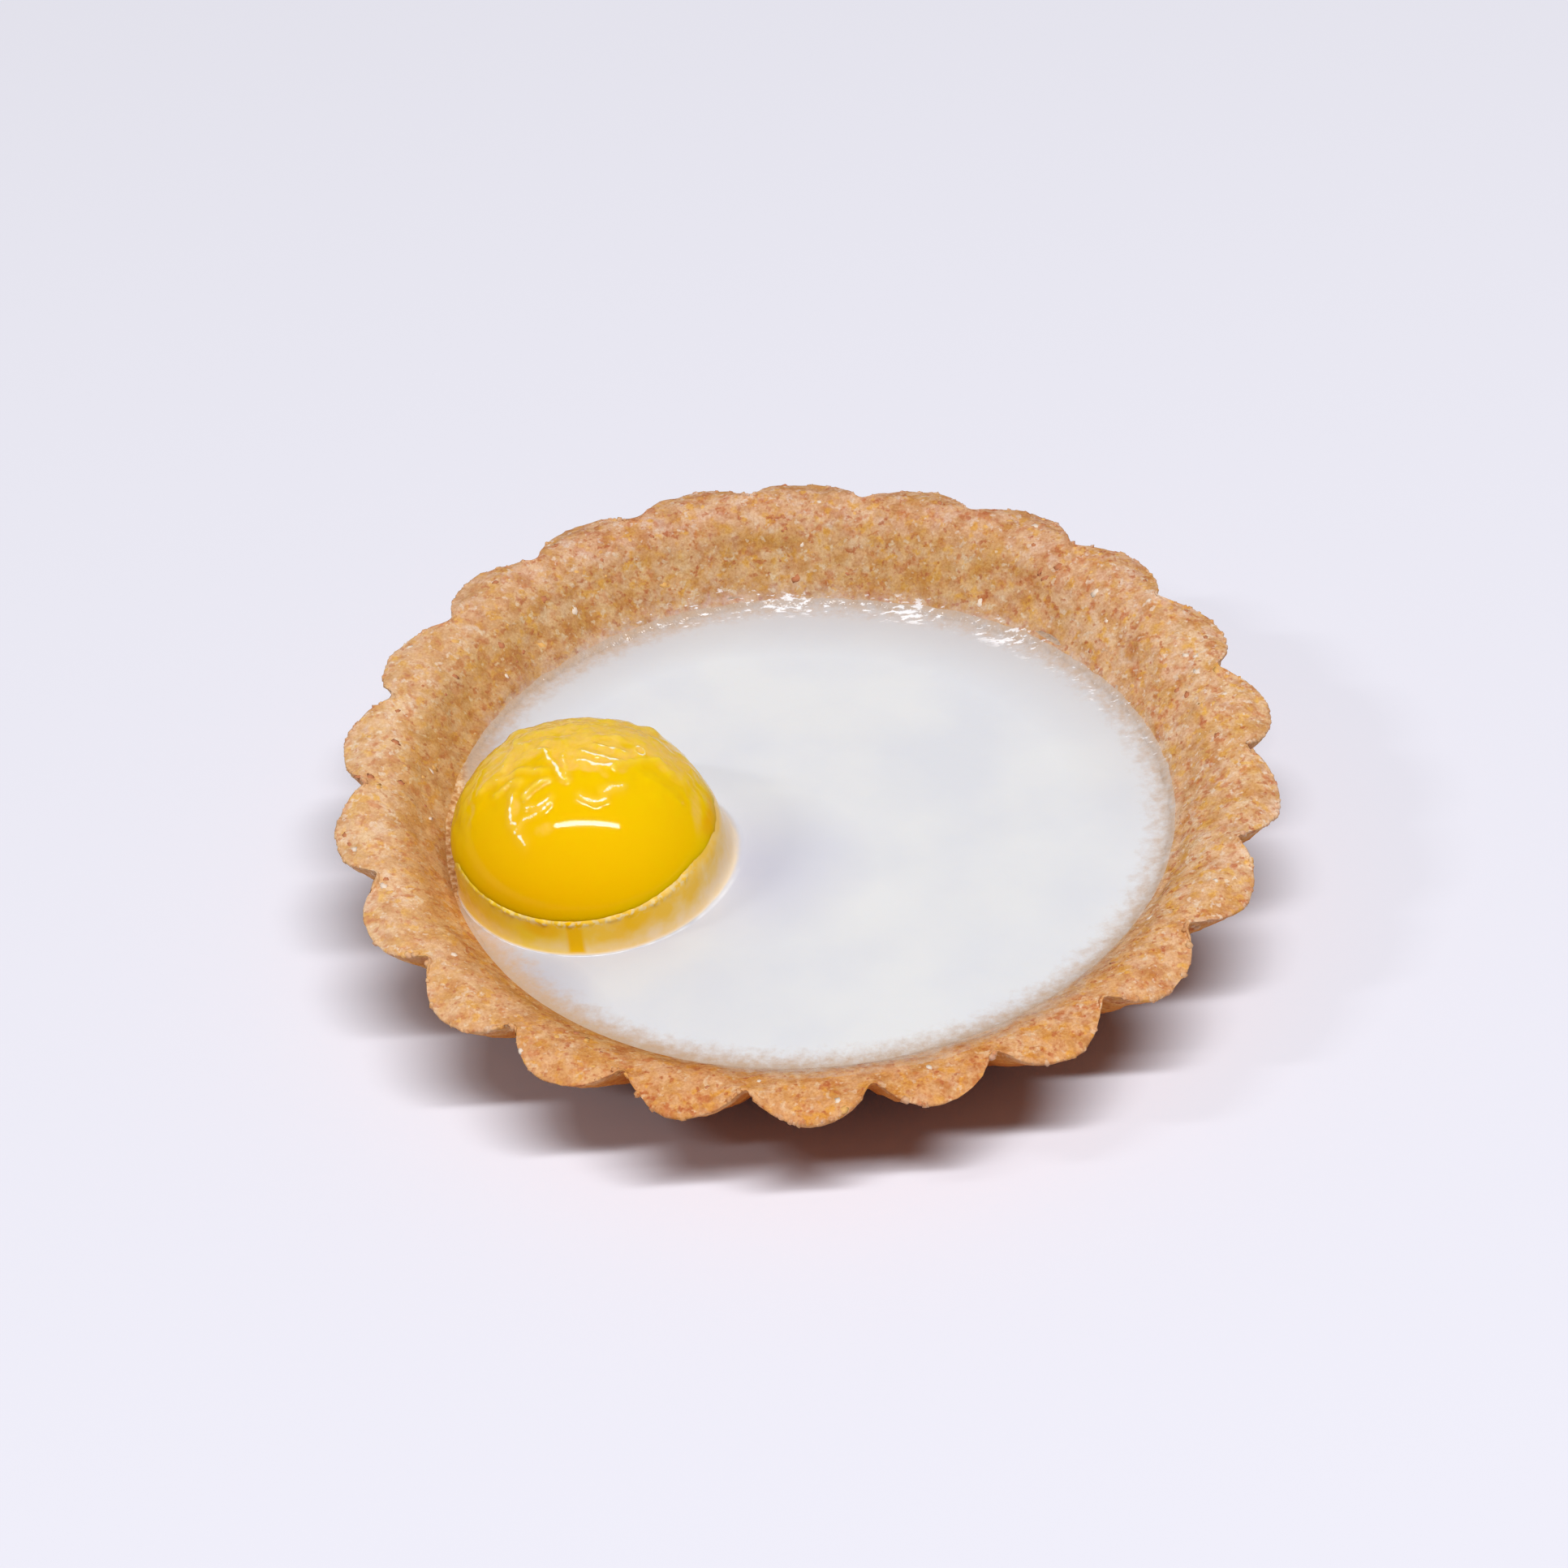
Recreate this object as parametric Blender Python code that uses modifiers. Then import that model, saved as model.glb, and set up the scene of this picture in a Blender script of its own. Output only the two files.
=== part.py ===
"""Quail egg tart: a fluted shortcrust case, a set white filling and one whole yolk.

Units are metres and +Z is up. The tart stands level on its flat base, with -Y towards the viewer.
The origin is on that base, under the middle of the whole outline. The case is a little uneven, so
its own axis is a fraction of a millimetre away.

Three pieces, each one closed solid in its own object:
  crust    the baked case, with 22 pressed scallops outside and a smooth wall inside
  filling  the set white that fills the case up to its level, hollowed where the yolk sits
  yolk     the dome of the egg yolk, sunk in the filling beside the left wall
"""
import math

import bmesh
import bpy
from mathutils import Vector, noise

# ---- Driving dimensions, in metres and degrees ------------------------------------------------
AXIS_PLACE = (-0.0002, 0.0004, 0.0)     # of the case's own axis, from the middle of its outline
RIM_RADIUS = 0.0350             # to the tips of the scallops
RIM_HEIGHT = 0.0110             # of the scallop tips above the base, on average
RIM_TILT = 3.5                  # the rim was pressed lower in front and stands higher behind
BASE_RADIUS = 0.0215            # to the ridges of the flutes, where the wall leaves the base
BASE_EDGE = 0.0009              # size of the rounded edge between base and wall
WALL_SWELL = 0.2                # how much the outer wall bows out between base and rim

SCALLOPS = 22
SCALLOP_DEPTH = 0.0026          # from tip to notch at the rim
SCALLOP_DEPTH_AT_BASE = 0.0008
SCALLOP_TURN = 14.3             # angle of the first notch, from +X towards +Y
# The scallops were pressed unevenly: their places drift in slow waves round the rim.
DRIFT_WAVES = ((1, 0.78, 72.7), (2, 1.08, -75.1), (3, 0.49, 25.3))  # waves, degrees, phase
ROUNDNESS_WAVES = ((2, 0.00015, 8.0), (3, 0.0002, -28.0))   # waves, metres, phase
DENT_ANGLE = 79.0               # the rim is pushed in a little here, at the back
DENT_WIDTH = 17.0
DENT_DEPTH = 0.0006

CREST_RADIUS = 0.03085          # where the rim's top turns down into the case
CREST_RISE = 0.0008             # of the rim's top over the scallop tips
CREST_ROUND = 0.0004            # size of the rounded edge between them
FLOOR_HEIGHT = 0.0030           # of the dough inside the case
FLOOR_RADIUS = 0.0195           # where the flat floor turns up into the wall
WAIST_DROP = 0.0043             # the inner wall is straight down to here, below the tips ...
WAIST_RADIUS = 0.02515          # ... and this far from the axis
WALL_TUCK = 0.75                # below it the wall curves in, like a bowl: 1 is straight

FILLING_LEVEL = 0.0080
YOLK_CENTRE = (-0.0160, -0.0050)    # from the case's axis
YOLK_RADIUS = 0.00985
YOLK_WIDEST = 0.0111            # height of its widest level
YOLK_RISE = 0.0076              # from there to the crown
YOLK_DEPTH = 0.0068             # and from there down to its underside
YOLK_SHOULDER = 1.65            # fullness of its sides: 2 is an ellipse, less is steeper
YOLK_LEAN = (-0.0005, 0.0005)   # the crown leans over, away from the middle
GAP = 0.0003                    # clearance between neighbours

CRUMB_SIZE = 0.0026             # spacing of the crumbly relief
CRUMB_RELIEF = 0.00022
BROAD_CRUMB = 3.1               # a second, broader relief, in crumb sizes ...
BROAD_SHARE = 0.5               # ... and in crumb reliefs
WRINKLE_SIZE = 0.0042           # spacing of the folds in the yolk's skin
WRINKLE_RELIEF = 0.0007

COLUMNS_PER_SCALLOP = 10
FILLING_COLUMNS = 110
YOLK_SEGMENTS = 44
YOLK_RINGS = 26
INNER_LEVELS = (0.0, 0.12, 0.27, 0.44, 0.63, 0.82, 1.0)  # rows of the inner wall, floor to crest
RIM_ROWS = (0.12, 0.4, 0.7, 0.93)                       # rows of the rim's top, crest to tip
OUTER_LEVELS = (1.0, 0.83, 0.62, 0.4, 0.2)            # rows of the outer wall, tip to base

# ---- Worked-out sizes -------------------------------------------------------------------------
CREST_HEIGHT = RIM_HEIGHT + CREST_RISE
WAIST_HEIGHT = RIM_HEIGHT - WAIST_DROP
SCALLOP_PITCH = math.tau / SCALLOPS
HALF_SCALLOP = (RIM_RADIUS - SCALLOP_DEPTH) * math.sin(SCALLOP_PITCH / 2)
SCALLOP_ARC_RADIUS = (HALF_SCALLOP**2 + SCALLOP_DEPTH**2) / (2 * SCALLOP_DEPTH)
TILT_SLOPE = math.tan(math.radians(RIM_TILT)) / RIM_HEIGHT
MERGE = 0.00001                 # points nearer than this are one


def mix(a, b, share):
    """Value between a and b."""
    return a + (b - a) * share


def clamp(value):
    """Value kept between 0 and 1."""
    return min(1.0, max(0.0, value))


def smooth(value):
    """Soft step from 0 to 1."""
    value = clamp(value)
    return value * value * (3 - 2 * value)


# ---- The case's form --------------------------------------------------------------------------
def outer_radius(height):
    """Distance of the flutes' ridges from the axis at a height up the wall."""
    share = clamp(height / RIM_HEIGHT)
    bowed = share + WALL_SWELL * share * (1 - share)
    return mix(BASE_RADIUS, RIM_RADIUS, bowed)


def inner_radius(height):
    """Distance of the smooth inner wall from the axis, from the floor to the crest."""
    if height > WAIST_HEIGHT:
        share = clamp((height - WAIST_HEIGHT) / (CREST_HEIGHT - WAIST_HEIGHT))
        return mix(WAIST_RADIUS, CREST_RADIUS, share)
    share = clamp((height - FLOOR_HEIGHT) / (WAIST_HEIGHT - FLOOR_HEIGHT))
    return mix(FLOOR_RADIUS, WAIST_RADIUS, share ** WALL_TUCK)


def scallop_cut(angle):
    """How deep the outline is cut in at this even angle: 0 on a tip, 1 in a notch.

    Each scallop is an arc of a circle, so that two neighbours meet in a sharp notch.
    """
    place = (angle / SCALLOP_PITCH) % 1.0
    across = (2 * place - 1) * HALF_SCALLOP
    bulge = math.sqrt(SCALLOP_ARC_RADIUS**2 - across**2) - (SCALLOP_ARC_RADIUS - SCALLOP_DEPTH)
    return 1 - bulge / SCALLOP_DEPTH


def drifted(angle):
    """Turn an even angle round the case into the uneven one of the pressed scallops."""
    place = angle + math.radians(SCALLOP_TURN)
    drift = sum(size * math.cos(waves * place + math.radians(phase))
                for waves, size, phase in DRIFT_WAVES)
    return place + math.radians(drift)


def rim_shift(angle):
    """How far the rim is out of round at this angle."""
    away = (math.degrees(angle) - DENT_ANGLE + 180) % 360 - 180
    dent = DENT_DEPTH * math.exp(-(away / DENT_WIDTH) ** 2)
    oval = sum(size * math.cos(waves * angle + math.radians(phase))
               for waves, size, phase in ROUNDNESS_WAVES)
    return oval - dent


def pressed(point):
    """Move a point of the plain turned case to its place in the fluted, uneven one."""
    radius = math.hypot(point.x, point.y)
    even = math.atan2(point.y, point.x)
    inside = inner_radius(point.z)
    outwards = clamp((radius - inside) / (outer_radius(point.z) - inside))
    up = clamp(point.z / RIM_HEIGHT)
    radius -= outwards * scallop_cut(even) * mix(SCALLOP_DEPTH_AT_BASE, SCALLOP_DEPTH, up)
    angle = drifted(even)
    radius += up * rim_shift(angle)
    depth = radius * math.sin(angle)
    # The height is stretched with the depth, so that the rim slopes and the base stays flat.
    return Vector((radius * math.cos(angle), depth, point.z * (1 + TILT_SLOPE * depth)))


# ---- Helpers ----------------------------------------------------------------------------------
def clear_scene():
    """Remove every object that the file starts with."""
    for obj in list(bpy.data.objects):
        bpy.data.objects.remove(obj, do_unlink=True)


def named_collection(name):
    """A new collection of this name, linked to the scene."""
    collection = bpy.data.collections.new(name)
    bpy.context.scene.collection.children.link(collection)
    return collection


def placed(name, mesh, collection, axis):
    """A new object that stands on the case's axis."""
    obj = bpy.data.objects.new(name, mesh)
    collection.objects.link(obj)
    obj.parent = axis
    return obj


def material(name, colour, roughness):
    """A Principled material with one colour."""
    mat = bpy.data.materials.new(name)
    mat.use_nodes = True
    shader = mat.node_tree.nodes["Principled BSDF"]
    shader.inputs["Base Color"].default_value = (*colour, 1.0)
    shader.inputs["Roughness"].default_value = roughness
    shader.inputs["Metallic"].default_value = 0.0
    return mat


def close_holes(bm):
    """Cap every open ring with one flat face, and point all faces outwards."""
    bmesh.ops.holes_fill(bm, edges=bm.edges, sides=0)
    bmesh.ops.recalc_face_normals(bm, faces=bm.faces)


def turned(name, outline, steps, collection):
    """Mesh of an open outline of (radius, height) turned about Z, with its ends capped flat."""
    mesh = bpy.data.meshes.new(name + "_outline")
    corners = [(radius, 0.0, height) for radius, height in outline]
    mesh.from_pydata(corners, [(i, i + 1) for i in range(len(corners) - 1)], [])
    profile = bpy.data.objects.new(name + "_outline", mesh)
    collection.objects.link(profile)
    screw = profile.modifiers.new("turn", 'SCREW')
    screw.axis = 'Z'
    screw.angle = math.tau
    screw.steps = steps
    screw.render_steps = steps
    screw.use_merge_vertices = True
    screw.merge_threshold = MERGE
    evaluated = profile.evaluated_get(bpy.context.evaluated_depsgraph_get())
    solid = bpy.data.meshes.new_from_object(evaluated)
    bpy.data.objects.remove(profile, do_unlink=True)
    bm = bmesh.new()
    bm.from_mesh(solid)
    bmesh.ops.remove_doubles(bm, verts=bm.verts, dist=MERGE)
    close_holes(bm)
    bm.to_mesh(solid)
    bm.free()
    return solid


def reshape(mesh, move):
    """Move every vertex of a mesh by a function of its place and normal."""
    moved = [move(vertex.co.copy(), vertex.normal.copy()) for vertex in mesh.vertices]
    for vertex, place in zip(mesh.vertices, moved):
        vertex.co = place
    mesh.update()


def finish(obj, mat, sharp_angle):
    """Shade a piece smooth, apart from its sharp edges, and give it its material."""
    obj.data.materials.clear()
    obj.data.materials.append(mat)
    obj.data.shade_smooth()
    obj.data.set_sharp_from_angle(angle=math.radians(sharp_angle))


# ---- Crust ------------------------------------------------------------------------------------
def inner_outline():
    """Section of the case's inside, from the floor up to the rounded edge of the rim."""
    heights = [mix(FLOOR_HEIGHT, CREST_HEIGHT - CREST_ROUND, share) for share in INNER_LEVELS]
    return [(inner_radius(height), height) for height in heights]


def crust_outline():
    """Section of the case through a tip: from the inner floor, over the rim, to the base."""
    points = inner_outline()
    points += [(mix(CREST_RADIUS, RIM_RADIUS, share), CREST_HEIGHT - CREST_RISE * share**2)
               for share in RIM_ROWS]
    points += [(outer_radius(share * RIM_HEIGHT), share * RIM_HEIGHT) for share in OUTER_LEVELS]
    points.append((outer_radius(BASE_EDGE), BASE_EDGE))
    points.append((BASE_RADIUS - BASE_EDGE / 3, BASE_EDGE / 4))
    points.append((BASE_RADIUS - BASE_EDGE, 0.0))
    return points


def crumbly(point, normal):
    """Crumbs and hollows of the baked dough, none on the base or where the filling lies."""
    if normal.z > 0 and point.z < FILLING_LEVEL + 2 * GAP:
        return point
    off_base = smooth((point.z - BASE_EDGE) / (2 * BASE_EDGE))
    fine = noise.noise(point / CRUMB_SIZE)
    broad = noise.noise(point / (CRUMB_SIZE * BROAD_CRUMB))
    return point + normal * off_base * CRUMB_RELIEF * (fine + BROAD_SHARE * broad)


def make_crust(collection, axis):
    """The baked case: turned, pressed into scallops, then roughened."""
    mesh = turned("crust", crust_outline(), SCALLOPS * COLUMNS_PER_SCALLOP, collection)
    reshape(mesh, lambda point, normal: pressed(point))
    reshape(mesh, crumbly)
    obj = placed("crust", mesh, collection, axis)
    finish(obj, material("shortcrust", (0.560, 0.275, 0.110), 0.85), 60)


# ---- Yolk -------------------------------------------------------------------------------------
def yolk_mesh(name, grow):
    """The yolk's body, from its underside to its crown, or the same grown by a clearance."""
    bm = bmesh.new()
    bmesh.ops.create_uvsphere(bm, u_segments=YOLK_SEGMENTS, v_segments=YOLK_RINGS, radius=1.0)
    crown = YOLK_WIDEST + YOLK_RISE
    for vertex in bm.verts:
        x, y, z = vertex.co
        shoulder = 1.0
        if abs(z) < 1 - MERGE:
            shoulder = math.sqrt((1 - abs(z) ** YOLK_SHOULDER) / (1 - z**2))
        height = YOLK_WIDEST + z * ((YOLK_RISE if z > 0 else YOLK_DEPTH) + grow)
        lean = clamp((height - FILLING_LEVEL) / (crown - FILLING_LEVEL))
        reach = (YOLK_RADIUS + grow) * shoulder
        vertex.co = (YOLK_CENTRE[0] + x * reach + YOLK_LEAN[0] * lean,
                     YOLK_CENTRE[1] + y * reach + YOLK_LEAN[1] * lean,
                     height)
    mesh = bpy.data.meshes.new(name)
    bm.to_mesh(mesh)
    bm.free()
    return mesh


def wrinkled(point, normal):
    """Folds of the loose skin over the yolk's crown: soft pads with creases between them."""
    over_crown = smooth((point.z - YOLK_WIDEST) / (0.7 * YOLK_RISE))
    pad = abs(noise.noise(point / WRINKLE_SIZE))
    return point + normal * over_crown * WRINKLE_RELIEF * (pad - 0.2)


def make_yolk(collection, axis):
    """The yolk: a round body flattened by its own weight, with a wrinkled crown."""
    mesh = yolk_mesh("yolk", 0.0)
    reshape(mesh, wrinkled)
    obj = placed("yolk", mesh, collection, axis)
    finish(obj, material("egg_yolk", (0.870, 0.500, 0.010), 0.22), 80)


# ---- Filling ----------------------------------------------------------------------------------
def filling_outline():
    """Section of the filling before it is levelled: the case's inside, moved in and up."""
    return [(radius - GAP, height + GAP) for radius, height in reversed(inner_outline())]


def make_filling(collection, cutters, axis):
    """The set white: cast in the case, level on top, with the yolk's seat sunk in it."""
    mesh = turned("filling", filling_outline(), FILLING_COLUMNS, collection)
    reshape(mesh, lambda point, normal: pressed(point))
    bm = bmesh.new()
    bm.from_mesh(mesh)
    bmesh.ops.bisect_plane(bm, geom=bm.verts[:] + bm.edges[:] + bm.faces[:], dist=MERGE / 10,
                           plane_co=(0, 0, FILLING_LEVEL), plane_no=(0, 0, 1), clear_outer=True)
    close_holes(bm)
    bm.to_mesh(mesh)
    bm.free()
    seat = placed("yolk_seat_cutter", yolk_mesh("yolk_seat_cutter", GAP), cutters, axis)
    seat.hide_render = True
    seat.display_type = 'WIRE'
    obj = placed("filling", mesh, collection, axis)
    cut = obj.modifiers.new("yolk_seat", 'BOOLEAN')
    cut.operation = 'DIFFERENCE'
    cut.solver = 'EXACT'
    cut.object = seat
    finish(obj, material("set_white", (0.800, 0.800, 0.790), 0.25), 40)


# ---- Build ------------------------------------------------------------------------------------
def main():
    """Model the tart."""
    clear_scene()
    tart = named_collection("quail_egg_tart")
    cutters = named_collection("cutters")
    axis = bpy.data.objects.new("case_axis", None)
    axis.location = AXIS_PLACE
    tart.objects.link(axis)
    make_crust(tart, axis)
    make_yolk(tart, axis)
    make_filling(tart, cutters, axis)


main()
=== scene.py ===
# %% [markdown]
# # A quail egg tart
#
# The real thing is a small fluted case of wholemeal shortcrust, about 70 mm across. Egg white was
# poured in and set, and one whole yolk sits in it beside the wall, round and glossy under its
# wrinkled skin. The solids of the case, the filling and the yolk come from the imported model. This
# lesson makes a finer mesh over each of them, and gives each its finish.

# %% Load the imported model
import math
import random

import bmesh
import bpy
from mathutils import Matrix, Vector, noise


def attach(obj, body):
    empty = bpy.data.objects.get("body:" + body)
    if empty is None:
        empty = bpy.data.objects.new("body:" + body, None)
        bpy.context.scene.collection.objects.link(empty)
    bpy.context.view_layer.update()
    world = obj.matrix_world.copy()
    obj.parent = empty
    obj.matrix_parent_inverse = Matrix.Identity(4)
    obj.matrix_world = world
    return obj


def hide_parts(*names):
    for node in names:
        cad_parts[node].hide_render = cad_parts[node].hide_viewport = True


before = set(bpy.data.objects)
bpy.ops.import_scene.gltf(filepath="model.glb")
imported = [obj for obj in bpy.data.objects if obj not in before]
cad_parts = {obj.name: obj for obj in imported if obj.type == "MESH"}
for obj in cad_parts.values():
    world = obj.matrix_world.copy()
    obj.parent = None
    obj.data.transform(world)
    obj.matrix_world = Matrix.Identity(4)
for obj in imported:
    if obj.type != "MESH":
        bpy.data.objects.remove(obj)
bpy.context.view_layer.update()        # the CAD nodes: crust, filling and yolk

print("solids to dress:", ", ".join(sorted(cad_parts)))

# %% [markdown]
# ## Sizes
#
# The finer meshes have to keep the form of the solids, so they are worked out from the same few
# sizes. Everything is in metres, and MM turns a size in millimetres into metres. The case's axis is
# a fraction of a millimetre off the origin, because the case is a little uneven.

# %% Driving sizes of the case
MM = 0.001
AXIS_PLACE = Vector((-0.2, 0.4, 0)) * MM
RIM_RADIUS = 35.0 * MM            # to the tips of the scallops
RIM_HEIGHT = 11.0 * MM            # of the tips, on average
RIM_TILT = math.radians(3.5)      # the rim is lower in front
BASE_RADIUS = 21.5 * MM
BASE_EDGE = 0.9 * MM
WALL_SWELL = 0.2                  # how much the outer wall bows out
SCALLOPS = 22
SCALLOP_DEPTH = 2.6 * MM
SCALLOP_DEPTH_AT_BASE = 0.8 * MM
SCALLOP_TURN = math.radians(14.3)
DRIFT_WAVES = ((1, 0.78, 72.7), (2, 1.08, -75.1), (3, 0.49, 25.3))    # waves, degrees, phase
ROUNDNESS_WAVES = ((2, 0.15 * MM, 8.0), (3, 0.2 * MM, -28.0))         # waves, metres, phase
DENT_ANGLE, DENT_WIDTH = 79.0, 17.0                                   # degrees
DENT_DEPTH = 0.6 * MM
CREST_RADIUS = 30.85 * MM
CREST_RISE = 0.8 * MM
FLOOR_HEIGHT = 3.0 * MM
FLOOR_RADIUS = 19.5 * MM
WAIST_DROP = 4.3 * MM
WAIST_RADIUS = 25.15 * MM
WALL_TUCK = 0.75                  # how much the wall curves in below its waist
LEVEL = 8.0 * MM                  # of the set white
GAP = 0.3 * MM

CREST_HEIGHT = RIM_HEIGHT + CREST_RISE
WAIST_HEIGHT = RIM_HEIGHT - WAIST_DROP
SCALLOP_PITCH = math.tau / SCALLOPS
HALF_SCALLOP = (RIM_RADIUS - SCALLOP_DEPTH) * math.sin(SCALLOP_PITCH / 2)
SCALLOP_ARC_RADIUS = (HALF_SCALLOP**2 + SCALLOP_DEPTH**2) / (2 * SCALLOP_DEPTH)
TILT_SLOPE = math.tan(RIM_TILT) / RIM_HEIGHT
print(f"{SCALLOPS} scallops, each {2 * HALF_SCALLOP / MM:.1f} mm wide")

# %% Driving sizes of the yolk
YOLK_CENTRE = Vector((-16.0, -5.0, 0)) * MM      # from the case's axis
YOLK_RADIUS = 9.85 * MM
YOLK_WIDEST = 11.1 * MM           # height of its widest level
YOLK_RISE = 7.6 * MM
YOLK_DEPTH = 6.8 * MM
YOLK_SHOULDER = 1.65              # fullness of its sides
YOLK_LEAN = Vector((-0.5, 0.5, 0)) * MM          # of the crown
YOLK_CROWN = YOLK_WIDEST + YOLK_RISE
print(f"the yolk is {2 * YOLK_RADIUS / MM:.1f} mm across and up to {YOLK_CROWN / MM:.1f} mm high")

# %% [markdown]
# ## The camera
#
# The camera looks 39 degrees down at the rim from 341 mm away, through a long lens, so that the
# rim's far side looks hardly smaller than the near one. It is rolled by almost four degrees.

# %% Place the camera
VIEW_DOWN = math.radians(39.19)
VIEW_ROLL = math.radians(-3.78)
VIEW_DISTANCE = 341.3 * MM
LENS = 106.2                                     # mm, on a sensor 36 mm wide
AIM_ASIDE = Vector((-1.48, -0.25, -0.31)) * MM   # the picture's middle, from the rim's centre

rim_centre = AXIS_PLACE + Vector((0, 0, RIM_HEIGHT))
forward = Vector((0, math.cos(VIEW_DOWN), -math.sin(VIEW_DOWN)))
camera_place = rim_centre - VIEW_DISTANCE * forward
bpy.ops.object.camera_add(location=camera_place)
camera = bpy.context.object
camera.name = "camera"
camera.rotation_euler = (rim_centre + AIM_ASIDE - camera_place).to_track_quat("-Z", "Y").to_euler()
camera.rotation_euler.rotate_axis("Z", VIEW_ROLL)
camera.data.lens = LENS
camera.data.sensor_width = 36.0
camera.data.clip_start = 10 * MM
bpy.context.scene.camera = camera
print("camera at", [round(x / MM) for x in camera_place], "mm")

# %% [markdown]
# ## Helpers
#
# A few small helpers serve every piece. Colours are written as sRGB hex values, as a colour picker
# shows them, and one function turns them to the linear values that shaders take. Another adds a
# shader node with its settings and its links, and gives back its output. Inputs in a list follow
# the order of the node's sockets: for a Map Range node they are its value, From Min and From Max,
# then To Min and To Max. The rest select, reshape and finish meshes.

# %% Colours as a colour picker shows them
def colour(hex_code):
    """Linear RGBA of an sRGB hex colour."""
    channels = [int(hex_code[i:i + 2], 16) / 255 for i in (0, 2, 4)]
    linear = [c / 12.92 if c <= 0.04045 else ((c + 0.055) / 1.055) ** 2.4 for c in channels]
    return (*linear, 1.0)


# %% Add a shader node with its settings and links
FACTOR, FIRST, SECOND, MIXED = 0, 6, 7, 2        # sockets of a Mix node that mixes colours
MAIN_OUTPUT = {"TexCoord": "Object", "Attribute": "Fac", "TexVoronoi": "Color", "Mix": MIXED}


def connect(node, inputs):
    """Give a node its inputs: values, hex colours, or outputs of other nodes, which are linked."""
    for name, value in inputs.items() if isinstance(inputs, dict) else enumerate(inputs):
        if isinstance(value, bpy.types.NodeSocket):
            node.id_data.links.new(value, node.inputs[name])
        else:
            node.inputs[name].default_value = colour(value) if isinstance(value, str) else value


def add(tree, kind, inputs=(), output=None, stops=(), **settings):
    """The output of a new node. Stops are the places and hex colours of a colour ramp."""
    node = tree.nodes.new("ShaderNode" + kind)
    if kind == "Mix":
        node.data_type = 'RGBA'
    for name, value in settings.items():
        setattr(node, name, value)
    connect(node, inputs)
    while stops and len(node.color_ramp.elements) < len(stops):
        node.color_ramp.elements.new(1.0)
    for element, (position, shade) in zip(node.color_ramp.elements if stops else (), stops):
        element.position = position
        element.color = colour(shade)
    return node.outputs[output or MAIN_OUTPUT.get(kind, 0)]


def new_material(name):
    """A new material, its node tree, and a ruler: Object coordinates in millimetres."""
    material = bpy.data.materials.new(name)
    material.use_nodes = True
    place = add(material.node_tree, "TexCoord")
    ruler = add(material.node_tree, "Mapping", {"Vector": place, "Scale": (1 / MM,) * 3})
    return material, material.node_tree, ruler


# %% Values and selections
def mix(a, b, share):
    """Value between a and b."""
    return a + (b - a) * share


def clamp(value):
    """Value kept between 0 and 1."""
    return min(1.0, max(0.0, value))


def smooth(value):
    """Soft step from 0 to 1."""
    value = clamp(value)
    return value * value * (3 - 2 * value)


def deselect():
    """Back to object mode, with nothing selected."""
    if bpy.context.object and bpy.context.object.mode != 'OBJECT':
        bpy.ops.object.mode_set(mode='OBJECT')
    bpy.ops.object.select_all(action='DESELECT')


def pick(obj):
    """Back to object mode, with one object selected and active."""
    deselect()
    obj.select_set(True)
    bpy.context.view_layer.objects.active = obj


def select_points(obj, test):
    """In edit mode, select just the points whose place passes a test, and what lies between them."""
    bpy.ops.mesh.select_mode(type='VERT')
    bpy.ops.mesh.select_all(action='DESELECT')
    work = bmesh.from_edit_mesh(obj.data)
    for vertex in work.verts:
        vertex.select = bool(test(vertex.co))
    work.select_flush(True)
    bmesh.update_edit_mesh(obj.data)


# %% Reshape and finish meshes
def reshape(obj, move):
    """Move every point of a mesh by a function of its place and normal."""
    moved = [move(vertex.co.copy(), vertex.normal.copy()) for vertex in obj.data.vertices]
    for vertex, place in zip(obj.data.vertices, moved):
        vertex.co = place
    obj.data.update()


def shade_smooth(obj):
    """Shade a piece smooth all over."""
    pick(obj)
    bpy.ops.object.shade_smooth()


def keep_values(obj, name, value_at):
    """Keep a value for each point of a mesh, as an attribute that its material can read."""
    attribute = obj.data.attributes.new(name, 'FLOAT', 'POINT')
    values = [value_at(vertex.co, vertex.normal) for vertex in obj.data.vertices]
    attribute.data.foreach_set("value", values)
    return attribute


def finish(obj, name, material, node=None):
    """Place, name, dress and hang a piece on the root, its object at the origin; hide its solid."""
    pick(obj)
    for modifier in list(obj.modifiers):
        bpy.ops.object.modifier_apply(modifier=modifier.name)
    bpy.ops.transform.translate(value=AXIS_PLACE)
    bpy.ops.object.transform_apply(location=True, rotation=True, scale=True)
    obj.name = obj.data.name = name
    obj.data.materials.clear()
    obj.data.materials.append(material)
    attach(obj, "root")
    if node:
        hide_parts(node)
    obj.data.calc_loop_triangles()
    print(f"{name}: {len(obj.data.loop_triangles)} triangles")


# %% [markdown]
# ## The case's form
#
# The case was pressed in a fluted tin. Its section is a flat floor, a wall that leans out, a rim
# that falls a little outwards and the outer wall, which the tin folded into 22 scallops. No two
# scallops are alike, so slow waves move them round the rim and pull the rim out of round. These
# are the same rules as in the solid, so that the finer mesh lies on it.

# %% Rules of the plain, turned case
def outer_radius(height):
    """Distance of the flutes' ridges from the axis at a height up the wall."""
    share = clamp(height / RIM_HEIGHT)
    return mix(BASE_RADIUS, RIM_RADIUS, share + WALL_SWELL * share * (1 - share))


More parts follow.
